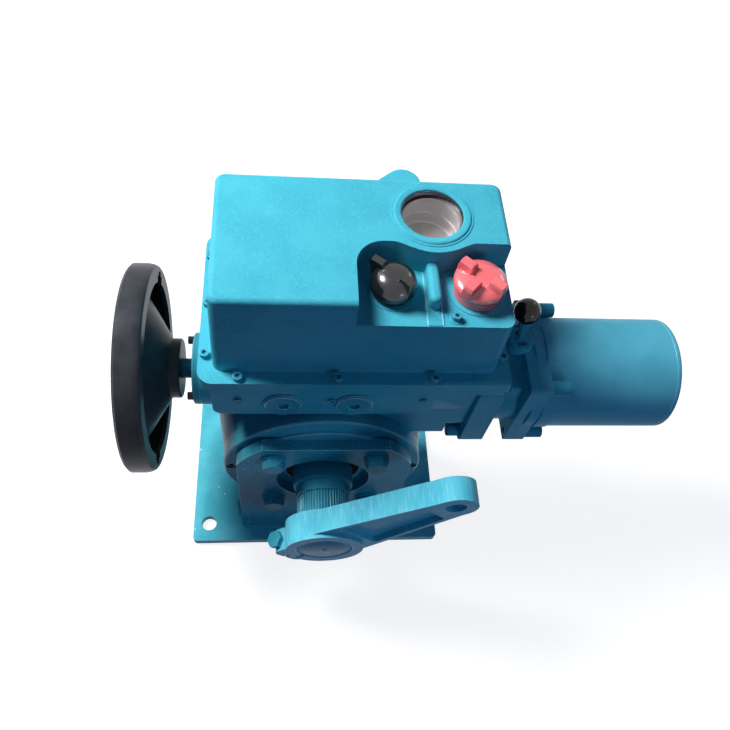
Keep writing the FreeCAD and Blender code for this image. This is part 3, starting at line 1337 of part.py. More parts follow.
def motor_rotor():
    front = neck_end_x - 14
    rear = motor_end_x - motor_cap_t - 4
    shaft = rod("x", front, rear, motor_shaft_r, worm_y, worm_z)
    pack = rod("x", stator_x, stator_x + stator_len, stator_bore_r - air_gap, worm_y, worm_z)
    dog = rod("x", front, front + 8, sleeve_r - 4, worm_y, worm_z)
    return join(shaft, pack, dog)


PARTS = {
    "base_plate": base_plate,
    "bracket_plate": bracket_plate,
    "bracket_gussets": bracket_gussets,
    "bracket_welds": bracket_welds,
    "bracket_bolts": bracket_bolts,
    "gear_case": gear_case,
    "side_cover": side_cover,
    "side_cover_screws": side_cover_screws,
    "output_bushes": output_bushes,
    "shaft_seal": shaft_seal,
    "rear_cover": rear_cover,
    "rear_cover_screws": rear_cover_screws,
    "output_shaft": output_shaft,
    "worm_wheel": worm_wheel,
    "wheel_key": wheel_key,
    "crank_arm": crank_arm,
    "clamp_bolt": clamp_bolt,
    "clamp_nut": clamp_nut,
    "worm_shaft": worm_shaft,
    "bearing_outer_rings": lambda: bearing_rings(True),
    "bearing_inner_rings": lambda: bearing_rings(False),
    "bearing_balls": bearing_balls,
    "worm_end_cap": worm_end_cap,
    "worm_end_cap_screws": worm_end_cap_screws,
    "worm_seal": worm_seal,
    "handwheel": handwheel,
    "handwheel_nut": handwheel_screw,
    "electrical_cover": electrical_cover,
    "cover_gasket": cover_gasket,
    "cover_screws": cover_screws,
    "window_glass": window_glass,
    "dial_well": dial_well,
    "position_dial": position_dial,
    "position_pointer": position_pointer,
    "limit_switch_unit": limit_switch_unit,
    "black_knob": lambda: knob("black", black_knob_r),
    "red_knob": lambda: knob("red", red_knob_r),
    "knob_seal_rings": knob_rings,
    "shelf_screw": shelf_screw,
    "cable_entry_plate": cable_entry_plate,
    "entry_screws": entry_screws,
    "blanking_plugs": blanking_plugs,
    "plug_nuts": plug_nuts,
    "board_pillars": board_pillars,
    "control_board": control_board,
    "terminal_block": terminal_block,
    "clutch_housing": clutch_housing,
    "case_flange_bolts": case_flange_bolts,
    "motor_bolts": motor_bolts,
    "clutch_sleeve": clutch_sleeve,
    "declutch_lever": declutch_lever,
    "lever_ball": lever_ball,
    "lever_pin": lever_pin,
    "motor_housing": motor_housing,
    "motor_end_cover": motor_end_cover,
    "motor_bearings": motor_bearings,
    "motor_stator": motor_stator,
    "motor_rotor": motor_rotor,
}


def main():
    os.makedirs("parts", exist_ok=True)
    for name, make in PARTS.items():
        made = make()
        shape = Part.makeCompound(made) if isinstance(made, list) else made
        shape.exportStep("parts/%s.step" % name)


main()
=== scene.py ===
"""Quarter-turn electric actuator on a foot bracket: its visible pieces, finishes and stage.

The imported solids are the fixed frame, in metres with +Z up. Castings, plates and fasteners are copies of
their solids with joined faces and rounded edges. The knobs, window ring and bezel, shaft collar, shelf
ridges, weld beads and the painted stub of the worm are surfaces of two parameters. Every finish is a
node material on Object coordinates.
"""
import json
import math

import bmesh
import bpy
import numpy as np
from mathutils import Matrix, Vector

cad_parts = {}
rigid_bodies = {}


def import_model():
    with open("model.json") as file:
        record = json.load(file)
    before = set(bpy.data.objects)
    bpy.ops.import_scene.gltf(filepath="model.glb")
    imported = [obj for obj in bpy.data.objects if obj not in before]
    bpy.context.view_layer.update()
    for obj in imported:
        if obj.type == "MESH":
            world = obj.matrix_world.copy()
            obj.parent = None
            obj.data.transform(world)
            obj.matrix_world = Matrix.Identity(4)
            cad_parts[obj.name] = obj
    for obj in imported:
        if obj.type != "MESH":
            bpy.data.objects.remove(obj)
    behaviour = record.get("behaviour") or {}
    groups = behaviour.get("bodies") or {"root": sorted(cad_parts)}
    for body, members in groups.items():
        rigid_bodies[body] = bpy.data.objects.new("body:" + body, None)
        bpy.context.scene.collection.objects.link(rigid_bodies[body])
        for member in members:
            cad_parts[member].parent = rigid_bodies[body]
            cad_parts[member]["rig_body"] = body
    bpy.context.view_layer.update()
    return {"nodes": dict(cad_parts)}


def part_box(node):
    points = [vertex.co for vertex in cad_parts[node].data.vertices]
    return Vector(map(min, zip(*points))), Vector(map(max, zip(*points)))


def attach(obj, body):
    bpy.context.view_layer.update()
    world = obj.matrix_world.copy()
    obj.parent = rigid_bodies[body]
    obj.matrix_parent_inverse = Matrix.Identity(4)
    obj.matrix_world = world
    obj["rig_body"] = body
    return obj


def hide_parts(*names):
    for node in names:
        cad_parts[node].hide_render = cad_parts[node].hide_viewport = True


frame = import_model()

bl_info = {
    "name": "Quarter-turn actuator",
    "version": (1, 0, 0),
    "blender": (4, 5, 0),
    "location": "3D View > Sidebar > Actuator",
    "description": "Builds the pieces, finishes and stage of a quarter-turn electric actuator",
    "category": "Object",
}

MM = 0.001      # one millimetre in metres


# Colours, nodes and finishes

PAINT, PAINT_DEEP = "#4ebace", "#47b2c7"
# The crest and ridge shades are painted highlights on the peel's crests and the forging's ridges; DUST is
# pale dust
PAINT_CREST_HIGHLIGHT, PAINT_RIDGE_HIGHLIGHT, DUST = "#62cadb", "#9ae6f2", "#e4f4f6"
KNOB_RED, KNOB_RED_DEEP = "#fd787c", "#f4666d"
CLOUD_MM, NIB_MM, RIDGE_MM = 45.0, 5.0, 2.4     # size of the enamel's slow clouds, dust nibs and ridges


def linear(code):
    """sRGB hex to a linear colour with alpha 1."""
    parts = [int(code[i:i + 2], 16) / 255 for i in (1, 3, 5)]
    return tuple(c / 12.92 if c <= 0.04045 else ((c + 0.055) / 1.055) ** 2.4 for c in parts) + (1.0,)


def node(tree, kind, settings=None, **links):
    """Adds a node: settings are its attributes or, by socket name or number, its inputs' values."""
    made = tree.nodes.new("ShaderNode" + kind)
    for key, value in (settings or {}).items():
        if isinstance(key, int) or key in made.inputs:
            made.inputs[key].default_value = value
        else:
            setattr(made, key, value)
    for key, source in links.items():
        number = int(key[1:]) if key[1:].isdigit() else key.replace("_", " ")
        tree.links.new(source, made.inputs[number])
    return made


def new_material(name):
    """An empty node material with its shader and Object coordinates."""
    material = bpy.data.materials.new(name)
    material.use_nodes = True
    tree = material.node_tree
    tree.nodes.clear()
    out = tree.nodes.new("ShaderNodeOutputMaterial")
    shader = tree.nodes.new("ShaderNodeBsdfPrincipled")
    tree.links.new(shader.outputs[0], out.inputs["Surface"])
    place = tree.nodes.new("ShaderNodeTexCoord").outputs["Object"]
    return material, tree, shader, place


def noise(tree, place, size_mm, detail=2.0, rough=0.5):
    """Noise whose lumps are about size_mm apart; returns its value."""
    made = node(tree, "TexNoise", {"Scale": 1000.0 / size_mm, "Detail": detail, "Roughness": rough},
                Vector=place)
    return made.outputs["Fac"]


def span(tree, value, low, high, from_low=0.0, from_high=1.0):
    """Maps a value's range to low..high."""
    return node(tree, "MapRange", {1: from_low, 2: from_high, 3: low, 4: high}, Value=value).outputs[0]


def mixed(tree, share, first, second):
    """Mixes two colours by a share."""
    made = node(tree, "Mix", {"data_type": "RGBA"})
    tree.links.new(share, made.inputs[0])
    for socket, colour in ((6, first), (7, second)):
        if isinstance(colour, bpy.types.NodeSocket):
            tree.links.new(colour, made.inputs[socket])
        else:
            made.inputs[socket].default_value = linear(colour) if isinstance(colour, str) else colour
    return made.outputs[2]


def bumps(tree, shader, layers):
    """Bump layers on a shader, each (height value, depth in mm)."""
    normal = None
    for height, depth in layers:
        made = node(tree, "Bump", {"Strength": 1.0, "Distance": depth * MM}, Height=height)
        if normal:
            tree.links.new(normal, made.inputs["Normal"])
        normal = made.outputs["Normal"]
    tree.links.new(normal, shader.inputs["Normal"])


def shade(code, base, chosen):
    """A hex shade as linear colour, moved as the colour chosen in the panel is moved from its base."""
    parts = zip(linear(code), linear(base), (*chosen, 1.0))
    return tuple(min(own * new / old, 1.0) for own, old, new in parts)


def enamel(name, grain_mm, depth_mm, rough, light=PAINT, deep=PAINT_DEEP, nibs=0.0, level=0.03,
           marks_mm=0.0):
    """Sprayed enamel: two close shades in slow clouds, an orange peel with crests grain_mm apart.

    The peel's crests are mixed paler as a painted highlight. Nibs is how far dust specks pale the paint.
    Marks are ridges along Y, marks_mm deep, on the faces whose attribute forged_side is 1; they are
    mixed paler there as a painted highlight.
    """
    material, tree, shader, place = new_material(name)
    chosen = bpy.context.scene.actuator_colours.enamel
    light, deep, crest, ridge = (shade(code, PAINT, chosen) for code in (light, deep, PAINT_CREST_HIGHLIGHT,
                                                                         PAINT_RIDGE_HIGHLIGHT))
    clouds = noise(tree, place, CLOUD_MM, 3)
    peel = noise(tree, place, grain_mm, 3, 0.6)
    colour = mixed(tree, span(tree, clouds, 0, 1, 0.4, 0.6), deep, light)
    # Painted highlight: the peel's crests are mixed paler
    colour = mixed(tree, span(tree, peel, 0, 0.5, 0.5, 0.72), colour, crest)
    if nibs:
        specks = noise(tree, place, NIB_MM, 1, 0.4)
        colour = mixed(tree, span(tree, specks, 0, nibs, 0.76, 0.79), colour, DUST)
    layers = [(peel, depth_mm)]
    if marks_mm:
        drawn = node(tree, "Mapping", {"Scale": (1, 0.11, 0.35)}, Vector=place).outputs[0]
        ridges = noise(tree, drawn, RIDGE_MM, 4, 0.7)
        sides = node(tree, "Attribute", {"attribute_name": "forged_side"}).outputs["Fac"]
        ridges = node(tree, "Math", {"operation": "MULTIPLY"}, _0=ridges, _1=sides).outputs[0]
        # Painted highlight: the ridges on the forging's sides are mixed paler
        colour = mixed(tree, span(tree, ridges, 0, 0.6, 0.5, 0.7), colour, ridge)
        layers.append((ridges, marks_mm))
    tree.links.new(colour, shader.inputs["Base Color"])
    tree.links.new(span(tree, peel, rough - 0.06, rough + 0.08), shader.inputs["Roughness"])
    shader.inputs["Specular IOR Level"].default_value = level
    bumps(tree, shader, layers)
    return material


def plain_finish(name, light, deep, rough, metallic=0.0, grain_mm=1.5, depth_mm=0.02, coat=0.0,
                 level=0.5):
    """A finish of two close shades with its own grain, for plastic, rubber and metal."""
    material, tree, shader, place = new_material(name)
    slow = noise(tree, place, 18, 3)
    fine = noise(tree, place, grain_mm, 2)
    colour = mixed(tree, span(tree, slow, 0, 1, 0.3, 0.7), deep, light)
    tree.links.new(colour, shader.inputs["Base Color"])
    tree.links.new(span(tree, fine, rough - 0.05, rough + 0.08), shader.inputs["Roughness"])
    shader.inputs["Metallic"].default_value = metallic
    shader.inputs["Coat Weight"].default_value = coat
    shader.inputs["Specular IOR Level"].default_value = level
    bumps(tree, shader, [(fine, depth_mm)])
    return material


def turned_finish(name, light, deep, rough, axis, groove_mm=0.6, depth_mm=0.015, metallic=1.0):
    """Lathe-turned metal: fine rings round the axis, and slight changes of shade from ring to ring."""
    material, tree, shader, place = new_material(name)
    stretch = {"x": (1, 0.02, 0.02), "y": (0.02, 1, 0.02), "z": (0.02, 0.02, 1)}[axis]
    mapped = node(tree, "Mapping", {"Scale": stretch}, Vector=place).outputs[0]
    rings = noise(tree, mapped, groove_mm, 3, 0.7)
    slow = noise(tree, place, 25, 2)
    colour = mixed(tree, span(tree, rings, 0, 1, 0.3, 0.7), deep, light)
    tree.links.new(colour, shader.inputs["Base Color"])
    tree.links.new(span(tree, slow, rough - 0.06, rough + 0.1), shader.inputs["Roughness"])
    shader.inputs["Metallic"].default_value = metallic
    bumps(tree, shader, [(rings, depth_mm)])
    return material


def clear_glass(name):
    """Soda-lime glass with faint dust: its faces gloss, and shadow rays pass so that light gets in."""
    material, tree, shader, place = new_material(name)
    dust = noise(tree, place, 3, 4)
    tree.links.new(span(tree, dust, 0.0, 0.08, 0.5, 0.8), shader.inputs["Roughness"])
    shader.inputs["Base Color"].default_value = linear("#f2f7f7")
    shader.inputs["Transmission Weight"].default_value = 1.0
    shader.inputs["IOR"].default_value = 1.5
    bumps(tree, shader, [(dust, 0.002)])
    shadow = node(tree, "LightPath").outputs["Is Shadow Ray"]
    open_way = node(tree, "BsdfTransparent").outputs[0]
    blend = node(tree, "MixShader", _0=shadow, _1=shader.outputs[0], _2=open_way).outputs[0]
    tree.links.new(blend, output_of(tree))
    return material


def output_of(tree):
    """The surface socket of a material's output."""
    return next(n for n in tree.nodes if n.type == "OUTPUT_MATERIAL").inputs["Surface"]


def finishes():
    """Every material of the actuator by its key."""
    red = bpy.context.scene.actuator_colours.red_knob
    return {
        # Enamel sprayed on cast aluminium: an orange peel breaks up a weak gloss
        "cast_enamel": enamel("Enamel on cast aluminium", 2.6, 0.19, 0.3),
        # The same enamel on a drawn tube, in lighter shades as painted light: nearly smooth, a broad satin
        # light along the motor
        "tube_painted_light_enamel": enamel("Enamel on drawn tube", 1.6, 0.02, 0.4, "#60bed6", "#57b4cd"),
        # Thick enamel on rolled plate: coarse peel with pale dust nibs, in lighter shades as painted light
        "plate_painted_light_enamel": enamel("Enamel on rolled steel plate", 2.4, 0.32, 0.3, "#66d4e4", "#52c0d2",
                               0.9),
        # The same on the upright plates, a shade deeper as painted shade
        "upright_painted_shade_enamel": enamel("Enamel on flame-cut steel plate", 2.4, 0.32, 0.3, "#46aec2", "#389cb0",
                                 0.9),
        # Thick enamel over a rough forging, in lighter shades as painted light; its die marks are ridges
        # on the sides, paler as a painted highlight
        "forged_painted_light_enamel": enamel("Enamel on forged steel", 2.6, 0.2, 0.3, "#66d2e8", "#56c4dc",
                                marks_mm=0.3),
        # Enamel over turned and threaded pieces: thin, smooth and deeper in tone
        "fitting_enamel": enamel("Enamel on steel fittings", 1.2, 0.04, 0.26, "#40aac0", "#359bb2"),
        # The paint on a rounded edge is mixed paler and glossier, a painted highlight along the edge
        "edge_highlight_enamel": enamel("Enamel drawn thin on edges", 2.0, 0.02, 0.24, "#84d6e4", "#76ccdb",
                              level=0.5),
        # Oil-blackened steel: near black with a dim metal sheen
        "blackened_steel": plain_finish("Blackened steel", "#2c2f33", "#191b1e", 0.38, 1.0,
                                        grain_mm=1.0),
        # Turned steel: fine rings that stretch each light across the shaft
        "turned_steel": turned_finish("Turned steel", "#b9bcbf", "#989ca0", 0.28, "x"),
        # Machined cast bronze: warm yellow metal with fine rings
        "bronze": turned_finish("Cast bronze, machined", "#c49a52", "#a67c3a", 0.3, "y"),
        # Nitrile rubber: dead matt black that closes the joints
        "nitrile_rubber": plain_finish("Nitrile rubber", "#141414", "#0c0c0c", 0.7, level=0.02),
        # Satin black paint on cast iron: broad soft lights over a fine casting grain
        "wheel_black": plain_finish("Satin black paint on cast iron", "#3e4045", "#303236", 0.36,
                                    grain_mm=1.6, depth_mm=0.06, level=0.1),
        # Clear glass: only its faces' gloss and a little dust show
        "glass": clear_glass("Window glass"),
        # Turned aluminium gone dull: pale grey with soft rings down the well
        "dull_aluminium": turned_finish("Turned aluminium, dulled", "#cfc4c6", "#a2979a", 0.45, "z",
                                        metallic=0.6),
        # The bezel's bore is bright-turned; its dark grey is a painted reflection of the dark recess under
        # the glass
        "bezel": turned_finish("Turned aluminium, bright", "#6f7680", "#4f5660", 0.22, "z"),
        # Dulled sheet metal: a warm grey dial without gloss
        "dial_face": plain_finish("Dulled dial sheet", "#877d7a", "#6e6663", 0.5),
        # Paint worn close to the dial's tone, so the pointer hardly stands out
        "pointer_paint": plain_finish("Dulled paint on sheet brass", "#8c7a70", "#7d6a60", 0.5),
        # Moulded phenolic resin: black with a small bright light under a clear skin
        "knob_black": plain_finish("Phenolic resin, moulded black", "#1b1c1f", "#101114", 0.24,
                                   grain_mm=1.2, coat=0.4),
        # Moulded ABS: light red with a wet-looking skin
        "knob_red": plain_finish("ABS, moulded red", shade(KNOB_RED, KNOB_RED, red),
                                 shade(KNOB_RED_DEEP, KNOB_RED, red), 0.2, grain_mm=1.2, coat=0.5),
        # Polished phenolic resin: brown-black with sharp reflections
        "ball_black": plain_finish("Phenolic resin, polished ball", "#1c1413", "#110c0c", 0.12,
                                   grain_mm=1.0, depth_mm=0.01, coat=0.1, level=0.25),
        # Moulded polyamide: pale and half matt
        "switch_plastic": plain_finish("Polyamide, moulded pale", "#cfc9ba", "#bdb7a8", 0.48),
        # Glass-fibre board: even green under a semi-gloss lacquer
        "board": plain_finish("Glass-fibre board with green lacquer", "#2f6a41", "#235335", 0.35),
        # A stack of electrical steel sheets: fine lines across the axis
        "lamination": turned_finish("Stacked electrical steel", "#76797c", "#5d6063", 0.5, "x",
                                    groove_mm=1.0, depth_mm=0.06),
        # Ground bearing steel: bright and even
        "spring_steel": plain_finish("Bearing steel, ground", "#b4b7ba", "#9b9ea2", 0.18, 1.0),
    }


FINISH = {}


def finish(key):
    """A material of the actuator by its key; all are made at the first call."""
    if not FINISH:
        FINISH.update(finishes())
    return FINISH[key]


# Mesh helpers

SAME_PLACE = 0.002 * MM     # corners of a solid that round to the same multiple of this are one
# Widths of rounded edges that aren't set in the panel
FORGED_EDGE, SMALL_EDGE, SCREW_EDGE, SHARP_EDGE = 1.6 * MM, 0.8 * MM, 0.3 * MM, 0.25 * MM


def solid_arrays(name):
    """Corner places and triangles of a frame solid, with equal corners made one."""
    mesh = frame["nodes"][name].data
    places = np.empty(len(mesh.vertices) * 3)
    mesh.vertices.foreach_get("co", places)
    corners = np.empty(len(mesh.loops), np.int32)
    mesh.loops.foreach_get("vertex_index", corners)
    keys = np.round(places.reshape(-1, 3) / SAME_PLACE).astype(np.int64)
    _, first, same = np.unique(keys, axis=0, return_index=True, return_inverse=True)
    faces = same.reshape(-1)[corners].reshape(-1, 3)
    kept = (faces[:, 0] != faces[:, 1]) & (faces[:, 1] != faces[:, 2]) & (faces[:, 2] != faces[:, 0])
    return places.reshape(-1, 3)[first], faces[kept]


def add_piece(name, mesh, body, material, smooth_angle=35.0):
    """Puts a finished mesh in the scene as a piece that rides on a body."""
    mesh.materials.clear()
    mesh.materials.append(material)
    mesh.polygons.foreach_set("use_smooth", np.ones(len(mesh.polygons), bool))
    mesh.set_sharp_from_angle(angle=math.radians(smooth_angle))
    piece = bpy.data.objects.new(name, mesh)
    bpy.context.scene.collection.objects.link(piece)
    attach(piece, body)
    return piece


def body_of(name):
    """Name of the body that a frame solid rides on."""
    return frame["nodes"][name]["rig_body"]


def dressed(name, slot, material, width=SMALL_EDGE, segments=2, limit=28.0, reshape=None, join=0.5):
    """A frame solid's copy with its flat faces joined and its edges rounded; it stands for the solid.

    Faces that turn less than join degrees are joined, edges that turn more than limit degrees are
    rounded, the outer ones before the inner ones, and outer ones under enamel are paler as a painted
    highlight.
    """
    places, faces = solid_arrays(name)
    mesh = bpy.data.meshes.new(name + "_skin")
    mesh.from_pydata(places.tolist(), [], faces.tolist())
    work = bmesh.new()
    work.from_mesh(mesh)
    bmesh.ops.dissolve_limit(work, angle_limit=math.radians(join), verts=work.verts, edges=work.edges)
    if reshape:
        reshape(work)
        work.normal_update()
    turns = [work.edges.layers.float.new(key) for key in ("outer_edge", "inner_edge")]
    for edge in work.edges:
        if edge.is_manifold and edge.calc_face_angle() > math.radians(limit):
            edge[turns[0 if edge.is_convex else 1]] = 1.0
    work.to_mesh(mesh)
    work.free()
    piece = add_piece(name + "_skin", mesh, body_of(name), material)
    # Outer edges of enamelled pieces take the paler edge enamel, a painted highlight
    enamelled = slot in ("teal_paint", "plate_paint")
    if enamelled:
        mesh.materials.append(finish("edge_highlight_enamel"))
    for key in ("outer_edge", "inner_edge") if width else ():
        edge = piece.modifiers.new("Rounding of " + key, "BEVEL")
        edge.width = width
        edge.segments = segments
        edge.limit_method = "WEIGHT"
        edge.edge_weight = key
        edge.harden_normals = True
        edge.use_clamp_overlap = True
        if enamelled and key == "outer_edge":
            edge.material = 1
    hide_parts(name)
    return piece


def painted(name, material):
    """Gives a frame solid its finish and leaves its shape."""
    target = frame["nodes"][name]
    if not target.material_slots:
        target.data.materials.append(material)
    for place in target.material_slots:
        place.material = material


def surface(name, points, body, material, smooth_angle=35.0, ring=False):
    """A closed piece from a grid of places[u, v], joined round in v.

    A ring is joined round in u too; anything else has its first and last row closed by a fan.
    """
    rows, columns = points.shape[:2]
    number = np.arange(rows * columns).reshape(rows, columns)
    a = number if ring else number[:-1]
    b = np.roll(number, -1, 0) if ring else number[1:]
    faces = np.stack([a, b, np.roll(b, -1, 1), np.roll(a, -1, 1)], -1).reshape(-1, 4).tolist()
    places = points.reshape(-1, 3)
    for row, flip in () if ring else ((0, False), (rows - 1, True)):
        fan = np.stack([np.full(columns, len(places)), number[row], np.roll(number[row], -1)], -1)
        faces += (fan[:, ::-1] if flip else fan).tolist()
        places = np.vstack([places, points[row].mean(0)])
    mesh = bpy.data.meshes.new(name)
    mesh.from_pydata(places.tolist(), [], faces)
    mesh.update()
    work = bmesh.new()
    work.from_mesh(mesh)
    bmesh.ops.recalc_face_normals(work, faces=work.faces)
    work.to_mesh(mesh)
    work.free()
    return add_piece(name, mesh, body, material, smooth_angle)


def smooth(value):
    """Eases 0..1 at both ends: 3 t squared less 2 t cubed, held outside."""
    t = np.clip(value, 0, 1)
    return t * t * (3 - 2 * t)


def along(table, share):
    """Places on a polyline at shares 0..1 of its length."""
    table = np.asarray(table, float)
    steps = np.concatenate([[0], np.cumsum(np.hypot(*np.diff(table, axis=0).T))])
    return np.stack([np.interp(share * steps[-1], steps, table[:, k]) for k in (0, 1)], -1)


def knob_points(radius, centre, profile, tabs, tab_half, rows=110, columns=360):
    """A knob over azimuth a and share s of its meridian.

    The meridian is a skirt, a flare to the widest ring and a dome: r = R c^0.75 and z rising with
    s^0.85, for c and s the cosine and sine of a quarter turn. Within tab_half of a tab's azimuth it
    has a flat top from the tab's inner to its outer radius; an eased weight of the sideways distance
    blends the two.
    """
    skirt_r, skirt_h, widest, dome_h, height = profile
    s = np.linspace(0, 1, rows)[:, None]
    a = np.linspace(0, 2 * math.pi, columns, endpoint=False)[None, :]
    quarter = np.linspace(0, math.pi / 2 - 0.02, 60)
    # The skirt with its lower corner cut, and the flare up to the widest ring
    low = [(skirt_r - 0.6 * MM, 0), (skirt_r, 0.6 * MM), (skirt_r, skirt_h - 0.6 * MM),
           (radius - 0.5 * MM, widest - 1.2 * MM), (radius, widest - 0.4 * MM)]
    dome = low + [(radius * math.cos(k) ** 0.75, widest + (dome_h - widest) * math.sin(k) ** 0.85)
                  for k in quarter]
    shape = np.repeat(along(dome, s[:, 0])[:, None, :], columns, 1)
    for turn, inner, outer in tabs:
        turn, inner, outer = math.radians(turn), inner * MM, outer * MM
        # The tab's outer wall, its top with both corners cut, and the dome from there to the middle
        tab = low + [(outer, height - 5 * MM), (outer - 0.8 * MM, height - 1 * MM),
                     (outer - 1.8 * MM, height), (inner + 1 * MM, height), (inner, height - 1 * MM),
                     (inner - 0.5 * MM, dome_h - 1 * MM), (0.3 * inner, dome_h), (0.02 * radius, dome_h)]
        raised = along(tab, s[:, 0])[:, None, :]
        lateral = np.abs(raised[..., 0] * np.sin(a - turn))
        share = smooth((tab_half + 0.7 * MM - lateral) / (1.4 * MM)) * (np.cos(a - turn) > 0)
        shape = shape + share[..., None] * (raised - shape)
    x = centre[0] + shape[..., 0] * np.cos(a)
    y = centre[1] + shape[..., 0] * np.sin(a)
    z = centre[2] + shape[..., 1]
    return np.stack([x, y, z], -1)


def bead_points(start, end, side, up, radius, turns, seed, columns=16, lumpy=1.0):
    """Bead from start to end over length s and turn t: middle(s) + r(s) (cos t side + sin t up).

    By the share lumpy, slow lumps about 7 mm apart take 7 to 26 percent off r and a ripple every 2.6 mm
    adds up to 7 percent. Over 4 mm at each end r tapers to a fifth.
    """
    rng = np.random.default_rng(seed)
    start, end, side, up = (np.array(k, float) for k in (start, end, side, up))
    length = np.linalg.norm(end - start)
    s = np.linspace(0, length, int(length / (0.7 * MM)))
    lumps = max(4, int(length / (7 * MM)))
    slow = np.interp(s, np.linspace(0, length, lumps), rng.uniform(0.74, 0.93, lumps))
    ripple = 1 + 0.07 * np.abs(np.sin(math.pi * s / (2.6 * MM)))
    taper = smooth(s / (4 * MM)) * smooth((length - s) / (4 * MM)) * 0.8 + 0.2
    r = (radius * (1 + lumpy * (slow * ripple - 1)) * taper)[:, None, None]
    t = np.linspace(*turns, columns)[None, :, None]
    middle = start + (end - start) * (s / length)[:, None]
    return middle[:, None, :] + r * (np.cos(t) * side + np.sin(t) * up)


def lathe_points(outline, centre, axis="z", columns=144):
    """Outline of (radius r, reach h) in mm turned round an axis: Z is (x + r cos a, y + r sin a, z + h).

    Y is (x + r cos a, y - h, z + r sin a), so that h counts to the front.
    """
    r, h = (np.array(k)[:, None] * MM for k in zip(*outline))
    a = np.linspace(0, 2 * math.pi, columns, endpoint=False)[None, :]
    across, rise, reach = r * np.cos(a), r * np.sin(a), h + 0 * a
    if axis == "y":
        return np.stack([centre[0] + across, centre[1] - reach, centre[2] + rise], -1)
    return np.stack([centre[0] + across, centre[1] + rise, centre[2] + reach], -1)


def tube_points(x0, x1, radius, y, z, rows=3, columns=64):
    """Cylinder along X: (x, y + r cos a, z + r sin a)."""
    x = np.linspace(x0, x1, rows)[:, None]
    a = np.linspace(0, 2 * math.pi, columns, endpoint=False)[None, :]
    return np.stack([x + 0 * a, y + radius * np.cos(a) + 0 * x, z + radius * np.sin(a) + 0 * x], -1)


# Settings in the scene

class ActuatorColours(bpy.types.PropertyGroup):
    """Colours that the finishes are mixed from"""
    enamel: bpy.props.FloatVectorProperty(
        name="Enamel", description="Paint of castings, plates and fittings",
        default=linear(PAINT)[:3], min=0, max=1, subtype="COLOR")
    red_knob: bpy.props.FloatVectorProperty(
        name="Red knob", description="Colour of the red knob",
        default=linear(KNOB_RED)[:3], min=0, max=1, subtype="COLOR")


class ActuatorEdges(bpy.types.PropertyGroup):
    """Widths of the rounded edges"""
    casting: bpy.props.FloatProperty(name="Castings", description="Rounding of cast edges",
                                     default=1.4 * MM, unit="LENGTH")
    plate: bpy.props.FloatProperty(name="Plates", description="Rounding of sawn and painted plate edges",
                                   default=0.9 * MM, unit="LENGTH")
    fitting: bpy.props.FloatProperty(name="Fittings", description="Rounding of bolts and small pieces",
                                     default=0.4 * MM, unit="LENGTH")


class ActuatorKnobs(bpy.types.PropertyGroup):
    """Sizes of the two selector knobs"""
    black_tab: bpy.props.FloatProperty(name="Black tabs", description="Width of the black knob's tabs",
                                       default=8.8 * MM, unit="LENGTH")
    red_tab: bpy.props.FloatProperty(name="Red tabs", description="Width of the red knob's tabs",
                                     default=11 * MM, unit="LENGTH")
    height: bpy.props.FloatProperty(name="Height", description="From a knob's foot to its tabs' top",
                                    default=30 * MM, unit="LENGTH")


class ActuatorStage(bpy.types.PropertyGroup):
    """Power of the lamps and size of the floor"""
    key: bpy.props.FloatProperty(name="Key lamp", description="Power of the lamp overhead",
                                 default=42.0, unit="POWER")
    fill: bpy.props.FloatProperty(name="Fill lamp", description="Power of the lamp in front",
                                  default=3.4, unit="POWER")
    edge: bpy.props.FloatProperty(name="Edge lamp", description="Power of each small lamp behind",
                                  default=1.0, unit="POWER")
    floor: bpy.props.FloatProperty(name="Floor", description="Side of the floor",
                                   default=8.0, unit="LENGTH")


# Building the pieces

# Weld beads: radius and the two angles between which each is round
FOOT_WELD = (6.4 * MM, (-0.12, math.pi / 2 + 0.12))
SIDE_WELD = (6.0 * MM, (-math.pi / 2, math.pi / 2))
WELD_OVER_GUSSET, GUSSET_THICK = 8 * MM, 10 * MM
WELD_SEED = 40


class ACTUATOR_OT_foot(bpy.types.Operator):
    """Base plate, upright plate, gussets, weld beads and the four hex bolts"""
    bl_idname = "actuator.foot"
    bl_label = "Foot"
    bl_options = {"REGISTER", "UNDO"}

    def execute(self, context):
        edges = context.scene.actuator_edges
        # The upright plates, gussets and weld beads take a deeper enamel, a painted shade
        upright = finish("upright_painted_shade_enamel")
        # The base plate takes a lighter enamel, painted light
        dressed("base_plate", "plate_paint", finish("plate_painted_light_enamel"), edges.plate)
        for name in ("bracket_plate", "bracket_gussets"):
            dressed(name, "plate_paint", upright, edges.plate)
        dressed("bracket_bolts", "plate_paint", finish("fitting_enamel"), edges.fitting)
        low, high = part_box("bracket_plate")
        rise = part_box("bracket_gussets")[1].z + WELD_OVER_GUSSET
        inner = high.x - GUSSET_THICK
        x0, x1, y0, y1, z0 = low.x, high.x, low.y, high.y, low.z
        runs = [((x0, y0, z0), (x1, y0, z0), (0, -1, 0), (0, 0, 1), FOOT_WELD),
                ((-inner, y1, z0), (inner, y1, z0), (0, 1, 0), (0, 0, 1), FOOT_WELD),
                ((x0, y1, z0), (x0, y1, rise), (-1, 0, 0), (0, 1, 0), SIDE_WELD),
                ((x1, y1, z0), (x1, y1, rise), (1, 0, 0), (0, 1, 0), SIDE_WELD)]
        for k, (start, end, side, up, (radius, turns)) in enumerate(runs):
            points = bead_points(start, end, side, up, radius, turns, WELD_SEED + k)
            bead = surface("weld_bead_%d" % (k + 1), points, "frame", upright, 60)
            if k == 0:
                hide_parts("bracket_welds")
        return {"FINISHED"}


